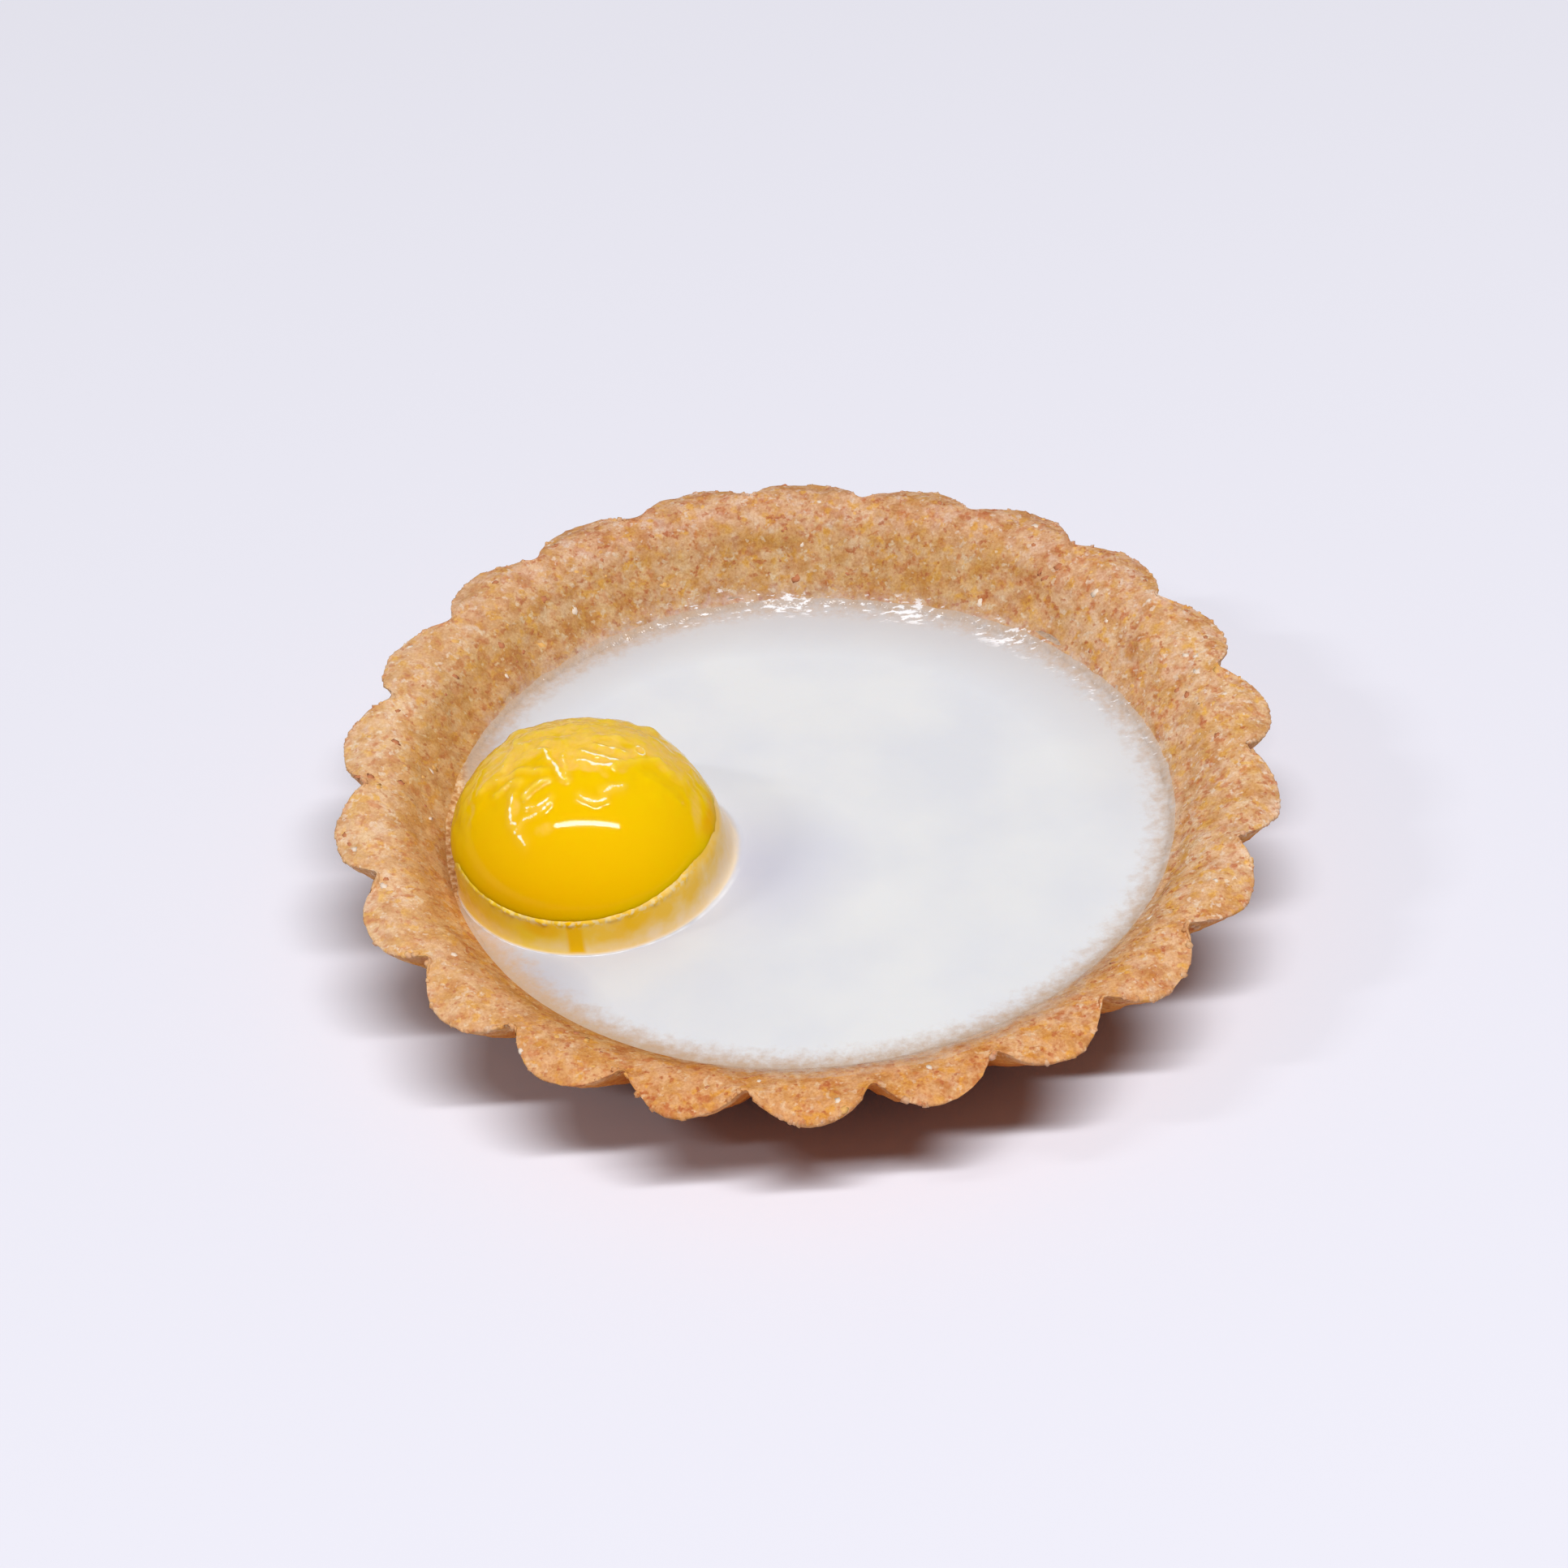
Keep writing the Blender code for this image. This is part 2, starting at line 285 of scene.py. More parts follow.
def inner_radius(height):
    """Distance of the smooth inner wall from the axis, from the floor to the crest."""
    if height > WAIST_HEIGHT:
        share = clamp((height - WAIST_HEIGHT) / (CREST_HEIGHT - WAIST_HEIGHT))
        return mix(WAIST_RADIUS, CREST_RADIUS, share)
    share = clamp((height - FLOOR_HEIGHT) / (WAIST_HEIGHT - FLOOR_HEIGHT))
    return mix(FLOOR_RADIUS, WAIST_RADIUS, share ** WALL_TUCK)


# %% Rules of the pressed, uneven one
NOTCH_ROUND = 0.5 * MM            # the notches between the scallops are rounded
NOTCH_RISE = 1.0 * MM             # the rim slopes down from each notch to the tips beside it


def bulge_at(across):
    """How far a scallop's arc stands out at a distance from its middle."""
    return math.sqrt(SCALLOP_ARC_RADIUS**2 - across**2) - (SCALLOP_ARC_RADIUS - SCALLOP_DEPTH)


def scallop_cut(angle):
    """How deep the outline is cut in at this even angle: 0 on a tip, 1 in a notch."""
    across = abs(2 * ((angle / SCALLOP_PITCH) % 1.0) - 1) * HALF_SCALLOP
    edge = HALF_SCALLOP - NOTCH_ROUND
    slope = edge / math.sqrt(SCALLOP_ARC_RADIUS**2 - edge**2)
    deepest = SCALLOP_DEPTH - bulge_at(edge) + slope * NOTCH_ROUND / 2
    if across < edge:
        return (SCALLOP_DEPTH - bulge_at(across)) / deepest
    return 1 - slope * (HALF_SCALLOP - across) ** 2 / (2 * NOTCH_ROUND) / deepest


def drifted(angle):
    """Turn an even angle round the case into the uneven one of the pressed scallops."""
    place = angle + SCALLOP_TURN
    drift = sum(size * math.cos(waves * place + math.radians(phase))
                for waves, size, phase in DRIFT_WAVES)
    return place + math.radians(drift)


def rim_shift(angle):
    """How far the rim is out of round at this angle."""
    away = (math.degrees(angle) - DENT_ANGLE + 180) % 360 - 180
    oval = sum(size * math.cos(waves * angle + math.radians(phase))
               for waves, size, phase in ROUNDNESS_WAVES)
    return oval - DENT_DEPTH * math.exp(-(away / DENT_WIDTH) ** 2)


def pressed(point, normal=None):
    """Move a point of the plain turned case to its place in the fluted, uneven one."""
    radius = math.hypot(point.x, point.y)
    even = math.atan2(point.y, point.x)
    inside = inner_radius(point.z)
    outwards = clamp((radius - inside) / (outer_radius(point.z) - inside))
    up = clamp(point.z / RIM_HEIGHT)
    cut = outwards**2 * scallop_cut(even)
    radius -= cut * mix(SCALLOP_DEPTH_AT_BASE, SCALLOP_DEPTH, up)
    angle = drifted(even)
    radius += up * rim_shift(angle)
    depth = radius * math.sin(angle)
    height = point.z * (1 + TILT_SLOPE * depth) + NOTCH_RISE * cut * outwards * up**5
    return Vector((radius * math.cos(angle), depth, height))


# %% [markdown]
# ## The shortcrust case
#
# A potter would throw this form, and turning does the same: the section is drawn as a line from the
# middle of the floor, over the rim, to the middle of the base, and a Screw modifier turns it once
# round the axis. The line's corners are rounded first, because each of them becomes a whole edge of
# the case. Its long stretches are halved until the mesh is fine enough to carry crumbs.

# %% Draw the section and turn it
COLUMNS = SCALLOPS * 30
CREST_ROUND = 2.2 * MM            # the rim turns softly down into the case ...
TIP_ROUND = 0.45 * MM             # ... and more sharply down to the flutes
FOOT_ROUND = 0.8 * MM
ROW = 0.3 * MM                    # spacing of the mesh rows where the crust shows from above
FLANK_ROW = 0.45 * MM             # and on the outer wall
HIDDEN_ROW = 3 * MM               # and out of sight
TOUCHING = 0.001 * MM             # points nearer than this are one

wall_heights = [mix(FLOOR_HEIGHT, CREST_HEIGHT, share) for share in (0, 0.15, 0.3, 0.42, 0.7, 1)]
flank_heights = [RIM_HEIGHT * share for share in (1, 0.75, 0.5, 0.25)] + [0]
section = [Vector((0, 0, FLOOR_HEIGHT))]
section += [Vector((inner_radius(height), 0, height)) for height in wall_heights]
section.append(Vector((mix(CREST_RADIUS, RIM_RADIUS, 0.6), 0, CREST_HEIGHT - CREST_RISE * 0.36)))
section += [Vector((outer_radius(height), 0, height)) for height in flank_heights]
section.append(Vector((0, 0, 0)))


def draw_line(name, points):
    """One open line of edges, drawn point by point. It stays in edit mode."""
    deselect()
    bpy.ops.mesh.primitive_plane_add(size=MM)
    line = bpy.context.object
    line.name = name
    bpy.ops.object.mode_set(mode='EDIT')
    bpy.ops.mesh.select_mode(type='VERT')
    bpy.ops.mesh.select_all(action='SELECT')
    bpy.ops.mesh.merge(type='CENTER')
    bpy.ops.transform.translate(value=points[0])
    for start, end in zip(points, points[1:]):
        bpy.ops.mesh.extrude_region_move(TRANSFORM_OT_translate={"value": end - start})
    return line


def round_corner(line, corner, size, segments):
    """Bevel one corner of a line."""
    select_points(line, lambda place: (place - corner).length < 0.01 * MM)
    bpy.ops.mesh.bevel(offset=size, segments=segments, affect='VERTICES')


case = draw_line("case", section)
round_corner(case, section[6], CREST_ROUND, 8)
round_corner(case, section[8], TIP_ROUND, 4)
round_corner(case, section[12], FOOT_ROUND, 3)


def halve_long_edges(line, limit_at):
    """Halve the edges of a line until none is longer than the limit at its place."""
    longest = True
    while longest:
        work = bmesh.from_edit_mesh(line.data)
        bpy.ops.mesh.select_mode(type='EDGE')
        bpy.ops.mesh.select_all(action='DESELECT')
        longest = [edge for edge in work.edges
                   if edge.calc_length() > limit_at((edge.verts[0].co + edge.verts[1].co) / 2)]
        for edge in longest:
            edge.select = True
        bmesh.update_edit_mesh(line.data)
        if longest:
            bpy.ops.mesh.subdivide(number_cuts=1)


def row_limit(place):
    """How far apart the rows may be at a place of the section."""
    if place.z < BASE_EDGE / 2 or (place.x < inner_radius(place.z) + MM and place.z < LEVEL - MM):
        return HIDDEN_ROW
    return FLANK_ROW if place.x > outer_radius(place.z) - MM and place.z < 0.9 * RIM_HEIGHT else ROW


def turn_line(line, steps):
    """Turn a line once round the axis, and close its seam and its two poles."""
    pick(line)
    screw = line.modifiers.new("turn", 'SCREW')
    screw.steps = screw.render_steps = steps
    screw.use_merge_vertices = True
    screw.merge_threshold = TOUCHING
    bpy.ops.object.modifier_apply(modifier=screw.name)
    bpy.ops.object.mode_set(mode='EDIT')
    bpy.ops.mesh.select_all(action='SELECT')
    bpy.ops.mesh.remove_doubles(threshold=TOUCHING)
    bpy.ops.mesh.normals_make_consistent(inside=False)
    deselect()
    return line


halve_long_edges(case, row_limit)
print("points in the section:", len(bmesh.from_edit_mesh(case.data).verts))
turn_line(case, COLUMNS)
print("faces of the turned case:", len(case.data.polygons))

# %% [markdown]
# ## Marks for the crust's colours
#
# A baker sees three zones on such a case: the pale rim, the deeper golden inner wall, and the flank
# that lay against the tin. They follow the section, so they are kept on the mesh's points while it
# is still plain and turned, and the crust's material reads them as attributes later.

# %% Keep the zones
def is_inside(place):
    """Whether a point is on the inner side of the wall."""
    return math.hypot(place.x, place.y) < mix(inner_radius(place.z), outer_radius(place.z), 0.4)


def wall_share(place, normal):
    """1 on the inner wall, 0 on the rim and outside."""
    radius = math.hypot(place.x, place.y)
    if not is_inside(place):
        return 0.0
    return smooth((CREST_RADIUS + 0.6 * MM - radius) / (2.6 * MM))


def flank_share(place, normal):
    """0 on the rim and inside, rising down the outer wall to 1 halfway down."""
    if is_inside(place) and place.z > FLOOR_HEIGHT / 2:
        return 0.0
    return clamp((RIM_HEIGHT - place.z) / (5 * MM))


keep_values(case, "wall", wall_share)
keep_values(case, "flank", flank_share)
print("zones kept:", [a.name for a in case.data.attributes if a.data_type == 'FLOAT'])

# %% [markdown]
# ## Press the scallops and roughen the dough
#
# Now each point moves to its place in the pressed case. The relief comes in three sizes: broad
# swells and lumps as in the solid, crumbs of about a millimetre, and fine grit. Only the broad part
# needs code. The finer ones are Displace modifiers with cloud and cell textures, held off the base
# and the hidden floor by a vertex group.

# %% Press and swell
CRUMB_SIZE = 2.6 * MM
CRUMB_RELIEF = 0.22 * MM
BROAD_CRUMB = 3.1
BROAD_SHARE = 0.5


def crumbly(point, normal):
    """The lumps of the solid's own relief."""
    if normal.z > 0 and point.z < LEVEL + 2 * GAP:
        return point
    off_base = smooth((point.z - BASE_EDGE) / (2 * BASE_EDGE))
    fine = noise.noise(point / CRUMB_SIZE)
    broad = noise.noise(point / (CRUMB_SIZE * BROAD_CRUMB))
    return point + normal * off_base * CRUMB_RELIEF * (fine + BROAD_SHARE * broad)


reshape(case, pressed)
reshape(case, crumbly)
shade_smooth(case)
print("pressed, up to", round(max(v.co.z for v in case.data.vertices) / MM, 2), "mm high")

# %% Find where the white wets the wall
MENISCUS = 0.15 * MM              # how far the white climbs the wall in front
MENISCUS_BEHIND = 1.1 * MM
OUT_OF_REACH = 9.0                # mm from the white's edge, where nothing is wet


def turned_from(turn, middle):
    """Angle from a direction to another, between half a turn back and half a turn on."""
    return (turn - middle + math.pi) % math.tau - math.pi


def around(turn, middle, spread, core):
    """1 about a direction, falling softly to 0. Only the turn is in radians, the rest in degrees."""
    return smooth(core - abs(math.degrees(turned_from(turn, math.radians(middle)))) / spread)


def behind(turn):
    """1 at the back of the white, 0 in front, for a direction from the yolk."""
    return smooth(0.3 + 0.6 * math.sin(turn) + 0.35 * math.cos(turn))


def climb_at(turn):
    """How far the white climbs the wall in a direction from the yolk."""
    return mix(MENISCUS, MENISCUS_BEHIND, behind(turn))


def dry_at(turn):
    """How much further the wall stays dry, in mm: on the yolk's left there is hardly any white."""
    return 3.0 * around(turn, 163, 30, 1.7)


def damp_at(turn):
    """How much higher the wall is damp, in mm: in front of the yolk and straight behind it."""
    return 1.8 * around(turn, -48, 26, 1.5) + around(turn, 92, 28, 1.5)


def up_wall(place, normal):
    """Distance up the wall from the white's edge, in mm along its slope."""
    if math.hypot(place.x, place.y) > CREST_RADIUS or normal.z < 0:
        return OUT_OF_REACH
    side = place - YOLK_CENTRE
    turn = math.atan2(side.y, side.x)
    return 1.35 * (place.z - LEVEL - 0.7 * climb_at(turn)) / MM + dry_at(turn) - damp_at(turn)


keep_values(case, "from_edge", up_wall)
print("the white climbs", round(climb_at(math.radians(90)) / MM, 2), "mm behind")

# %% Crumbs and grit
showing = case.vertex_groups.new(name="showing")
for vertex in case.data.vertices:
    inside = math.hypot(vertex.co.x, vertex.co.y) < CREST_RADIUS and vertex.normal.z > 0
    foot = LEVEL if inside else 0.5 * MM
    showing.add([vertex.index], smooth((vertex.co.z - foot) / (1.8 * MM)), 'REPLACE')

for name, kind, size, height in (("crumbs", 'VORONOI', 1.2, 0.07), ("lumps", 'CLOUDS', 0.9, 0.17),
                                 ("grit", 'CLOUDS', 0.4, 0.09)):
    texture = bpy.data.textures.new(name, kind)
    texture.noise_scale = size * MM
    displace = case.modifiers.new(name, 'DISPLACE')
    displace.texture = texture
    displace.texture_coords = 'LOCAL'
    displace.strength = height * MM
    displace.mid_level = 0.5
    displace.vertex_group = "showing"
print("relief:", [m.name for m in case.modifiers])

# %% [markdown]
# ## The soaked edge
#
# There is no clean line between white and crust. The thin edge of the white soaked in, so the crust
# shows through it, and a whitish film goes on up the wall, further and in more patches behind than
# in front. Only on the yolk's left does the wall stay dry. Behind, where the film is wettest,
# glints are painted on in three places: painted highlights, small white streaks. Crust and white
# both read their distance from the edge and share this one rule, so their patches run on from one
# to the other.

# %% Share of the white near its edge
PATCH_SIZE = 0.9                  # mm
GLINTS = (((-1.4, 24.0, 8.5), 3.4), ((8.6, 23.1, 8.5), 2.4), ((15.6, 18.2, 8.5), 3.8))    # place, width
BLACK, WHITE = "000000", "FFFFFF"


def soaked(tree, ruler, from_edge):
    """Share of white at a distance from its edge, how far back the place is, and painted glints."""
    across = add(tree, "SeparateXYZ", [ruler])
    back = add(tree, "MapRange", [add(tree, "SeparateXYZ", [ruler], "Y"), -8.0, 20.0])
    patches = add(tree, "TexNoise",
                  {"Vector": ruler, "Scale": 1 / PATCH_SIZE, "Detail": 5, "Roughness": 0.7})
    shift = add(tree, "MapRange", [patches, 0.3, 0.7, 0.05, 1.85])
    for start, end, less in ((0.0, -12.0, 0.8), (14.0, 24.0, 0.35)):      # less white at both sides
        shift = add(tree, "Math", [add(tree, "MapRange", [across, start, end, 0.0, less]), shift])
    share = add(tree, "MapRange", [add(tree, "Math", [from_edge, shift]), 1.8, -1.8],
                interpolation_type='SMOOTHSTEP')

    # painted glints: small white streaks on the wet film behind, clustered about three spots
    flat = add(tree, "Mapping", {"Vector": ruler, "Scale": (1.1, 2.8, 2.8)})
    painted_glints = add(tree, "TexNoise", {"Vector": flat, "Scale": 1.0, "Detail": 3, "Roughness": 0.6})
    for spot, width in GLINTS:
        away = add(tree, "VectorMath", [ruler, spot], "Value", operation='DISTANCE')
        painted_glints = add(tree, "Math", [add(tree, "MapRange", [away, width, 1.0, 0.0, 0.13]), painted_glints])
    painted_glints = add(tree, "MapRange", [painted_glints, 0.62, 0.7])
    near = add(tree, "ValToRGB", [add(tree, "MapRange", [from_edge, -3.0, 0.6])],
               stops=((0.05, BLACK), (0.35, WHITE), (0.65, WHITE), (0.95, BLACK)))
    rear = add(tree, "VectorMath", [ruler, (0.5, 1.0, 0.0)], "Value", operation='DOT_PRODUCT')
    for limit in (near, add(tree, "MapRange", [rear, 14.0, 20.0])):
        painted_glints = add(tree, "Math", [painted_glints, limit], operation='MULTIPLY')
    return share, back, painted_glints


# %% [markdown]
# ## Wholemeal shortcrust
#
# The dough is wholemeal flour and butter, rolled and baked dry. So it is matt, light tan, and
# mottled all through: reddish bran, yellow grits of maize and pale grains, half a millimetre to two
# millimetres across, with blurred edges. Each kind is a blotchy noise of its own size and colour,
# and one layer of small cells gives single grains an edge. A noise bends the cells, so that none
# looks like a tile. The inner wall is a deeper golden than the rim, but on the right it is kept
# lighter, as painted light where the lamp on the left falls on it. The flank grows darker towards
# its bottom. Both colours multiply the mottled one, so that its grains still show.

# %% Mix the crust's material
# each kind: move of its noise, size in mm, values where it starts and is full, strength, colour
BLOTCHES = (
    (0, 1.0, 0.53, 0.64, 0.85, "D58252"), (31, 1.25, 0.54, 0.66, 0.75, "F3D6BE"),
    (67, 0.9, 0.53, 0.65, 0.95, "F2B856"), (47, 1.6, 0.51, 0.67, 0.7, "D09656"),
    (121, 2.3, 0.52, 0.64, 0.65, "DCA24C"), (77, 1.9, 0.54, 0.66, 0.6, "F4CDB0"),
    (59, 1.7, 0.56, 0.68, 0.6, "C8824C"), (93, 0.6, 0.59, 0.68, 0.8, "C46C42"),
    (17, 0.6, 0.6, 0.68, 0.85, "F7E2CC"),
)
# in mm. Flour dust and the grit of the baked surface are finer, and drawn this coarse to show
CELL_SIZE, DUST_SIZE, GRIT_SIZE = 0.55, 0.2, 0.25
# white of the painted glints on the wet film
PAINTED_GLINT_WHITE = "FFFDFF"


def shortcrust():
    """Baked wholemeal shortcrust: dry, crumbly, mottled with bran and maize."""
    material, tree, ruler = new_material("wholemeal_shortcrust")
    clouds, dust, grit = (
        add(tree, "TexNoise",
            {"Vector": ruler, "Scale": 1 / size, "Detail": detail, "Roughness": rough})
        for size, detail, rough in ((2.2, 3, 0.55), (DUST_SIZE, 2, 0.6), (GRIT_SIZE, 3, 0.7)))
    tone = add(tree, "ValToRGB", [clouds], stops=((0.34, "E2AE7C"), (0.5, "F0C296"), (0.64, "F5D0A6")))
    for shift, size, low, high, most, hex_code in BLOTCHES:
        moved = add(tree, "Mapping", {"Vector": ruler, "Location": (shift,) * 3})
        blotch = add(tree, "TexNoise",
                     {"Vector": moved, "Scale": 1 / size, "Detail": 2, "Roughness": 0.55})
        share = add(tree, "MapRange", [blotch, low, high, 0.0, most])
        tone = add(tree, "Mix", {FACTOR: share, FIRST: tone, SECOND: hex_code})

    # single grains with an edge, and flour dust
    waver = add(tree, "TexNoise", {"Vector": ruler, "Scale": 1 / 0.7, "Detail": 3}, "Color")
    bent = add(tree, "VectorMath", [waver, (1.5,) * 3, ruler], operation='MULTIPLY_ADD')
    cells = add(tree, "TexVoronoi", {"Vector": bent, "Scale": 1 / CELL_SIZE})
    cells = add(tree, "ValToRGB", [add(tree, "SeparateColor", [cells], "Green")],
                stops=((0.08, "C27B52"), (0.3, "DDA270"), (0.55, "E9BD8E"), (0.8, "F5DBBA"),
                       (0.97, "ECB860")))
    dust = add(tree, "ValToRGB", [dust], stops=((0.32, "E2D8CE"), (0.62, "F7F7F7")))

    # the rim is deeper in colour in front, lighter on the left, and a little cooler behind
    across = add(tree, "SeparateXYZ", [ruler])
    depth = add(tree, "SeparateXYZ", [ruler], "Y")
    front = add(tree, "MapRange", [depth, -12.0, -30.0])
    rear = add(tree, "MapRange", [depth, 8.0, 26.0])
    left = add(tree, "MapRange", [across, -14.0, -32.0, 0.0, 0.15])

    # the wall is more golden than the rim, but painted light keeps the right wall lighter, where the
    # lamp on the left falls on it; the flank darkens towards its bottom
    painted_light_right_wall = add(tree, "MapRange", [across, 12.0, 27.0, 1.0, 0.1])
    wall = add(tree, "Attribute", attribute_name="wall")
    wall = add(tree, "Math", [wall, painted_light_right_wall], operation='MULTIPLY')
    golden = add(tree, "Mix", {FACTOR: rear, FIRST: "E8DAB6", SECOND: "F0F0DC"})
    flank = add(tree, "ValToRGB", [add(tree, "Attribute", attribute_name="flank")],
                stops=((0.0, "FFFFFF"), (0.25, "E8C88C"), (0.6, "D6A85C"), (1.0, "C48C40")))

    # the moist, whitish film above the filling, and painted glints on it
    film, back, painted_glints = soaked(tree, ruler, add(tree, "Attribute", attribute_name="from_edge"))
    pale = add(tree, "Mix", {FACTOR: back, FIRST: "DCCDBE", SECOND: "D6C6C4"})
    pale_share = add(tree, "Math", [film, 0.8], operation='MULTIPLY')
    for share, over, blend in ((0.22, cells, 'MIX'), (1.0, dust, 'MULTIPLY'),
                               (front, "FAE6CC", 'MULTIPLY'), (rear, "F4EFF2", 'MULTIPLY'),
                               (left, "F6D4A4", 'MIX'), (wall, golden, 'MULTIPLY'),
                               (1.0, flank, 'MULTIPLY'), (pale_share, pale, 'MIX'),
                               (painted_glints, PAINTED_GLINT_WHITE, 'MIX')):
        tone = add(tree, "Mix", {FACTOR: share, FIRST: tone, SECOND: over}, blend_type=blend)

    connect(tree.nodes["Principled BSDF"], {
        "Base Color": tone, "Roughness": add(tree, "MapRange", [film, 0.0, 0.6, 0.85, 0.2]),
        "Normal": add(tree, "Bump", {"Height": grit, "Strength": 0.4, "Distance": 0.1 * MM}),
        "Specular IOR Level": 0.15})
    return material


dough = shortcrust()
finish(case, "shortcrust_case", dough, "crust")

# %% [markdown]
# ## Grains and crumbs on the crust
#
# The bigger grains stand out of the baked surface, and crumbs cling to its edges, where the dough
# tore when it left the tin. Each kind is one small lump with a few faces, laid on the case many
# times over, pressed in by more than half. The draw is seeded, so it is the same every time.

# %% Scatter one kind over the case
def scattered(count, seed, size, flatness, sink, chance):
    """One mesh of many lumps on the case: each has its own size, turn and place."""
    draw = random.Random(seed)
    faces = [face for face in case.data.polygons if chance(face.center - AXIS_PLACE, face.normal) > 0]
    chances = [face.area * chance(face.center - AXIS_PLACE, face.normal) for face in faces]
    deselect()
    bpy.ops.mesh.primitive_ico_sphere_add(subdivisions=1, radius=1.0)
    lump = bpy.context.object
    corners = [vertex.co.copy() for vertex in lump.data.vertices]
    sides = [tuple(face.vertices) for face in lump.data.polygons]
    points, polygons = [], []
    for face in draw.choices(faces, chances, k=count):
        half = draw.uniform(*size) / 2
        turned = face.normal.to_track_quat('Z', 'Y').to_matrix() @ Matrix.Rotation(
            draw.uniform(0, math.tau), 3, 'Z')
        stretch = Vector((half * draw.uniform(1.0, 1.6), half, half * flatness))
        start = len(points)
        for corner in corners:
            uneven = draw.uniform(0.75, 1.15)
            place = Vector((corner.x * stretch.x, corner.y * stretch.y,
                            (corner.z - sink) * stretch.z)) * uneven
            points.append(face.center + turned @ place)
        polygons += [[start + index for index in side] for side in sides]
    lump.data.clear_geometry()
    lump.data.from_pydata(points, [], polygons)
    lump.data.update()
    shade_smooth(lump)
    bpy.ops.transform.translate(value=-AXIS_PLACE)
    bpy.ops.object.transform_apply(location=True, rotation=True, scale=True)
    return lump


def on_rim(place, normal):
    """Chance of a grain: on the rim's top and the upper wall, not on the flank."""
    return 1.0 if normal.z > 0.25 and place.z > LEVEL + 1.0 * MM else 0.0


def on_edge(place, normal):
    """Chance of a crumb: along the outer edge of the rim."""
    outside = math.hypot(place.x, place.y) > CREST_RADIUS
    return 1.0 if outside and -0.35 < normal.z < 0.6 and place.z > 0.72 * RIM_HEIGHT else 0.0


# %% Lay the grains
def grain(name, hex_code, roughness):
    """A grain baked into the dough."""
    material = bpy.data.materials.new(name)
    material.use_nodes = True
    shader = material.node_tree.nodes["Principled BSDF"]
    shader.inputs["Base Color"].default_value = colour(hex_code)
    shader.inputs["Roughness"].default_value = roughness
    return material


for name, count, seed, size, flatness, sink, chance, material in (
        ("maize_grits", 34, 11, (0.5 * MM, 0.9 * MM), 0.3, 0.7, on_rim,
         grain("maize_grit", "E2AC60", 0.7)),
        ("bran_flakes", 50, 12, (0.4 * MM, 0.8 * MM), 0.25, 0.6, on_rim,
         grain("bran_flake", "C0784E", 0.8)),
        ("pale_grains", 26, 13, (0.5 * MM, 0.9 * MM), 0.3, 0.65, on_rim,
         grain("pale_grain", "EAD6C2", 0.6)),
        ("edge_crumbs", 600, 14, (0.25 * MM, 0.65 * MM), 0.8, 0.45, on_edge, dough)):
    finish(scattered(count, seed, size, flatness, sink, chance), name, material)

# %% [markdown]
# ## The yolk
#
# A yolk is a bag of liquid: its own weight flattens it, and its skin keeps it round. A sphere of
# fine mesh takes the form of the solid by the same rule, which keeps its sides steeper than those
# of an ellipse. Its skin dried over the crown, turned a little cloudy and fell into thin folds, and
# into two small pads that show on its outline. They are drawn as short courses and spots, seen from
# above, in millimetres from the yolk's middle. The shiny folds carry painted highlights along their
# tops, thin pale cream lines. Its left side stayed clear. The lower half stayed tight and smooth,
# and mirrors the lamp as one clear bar.

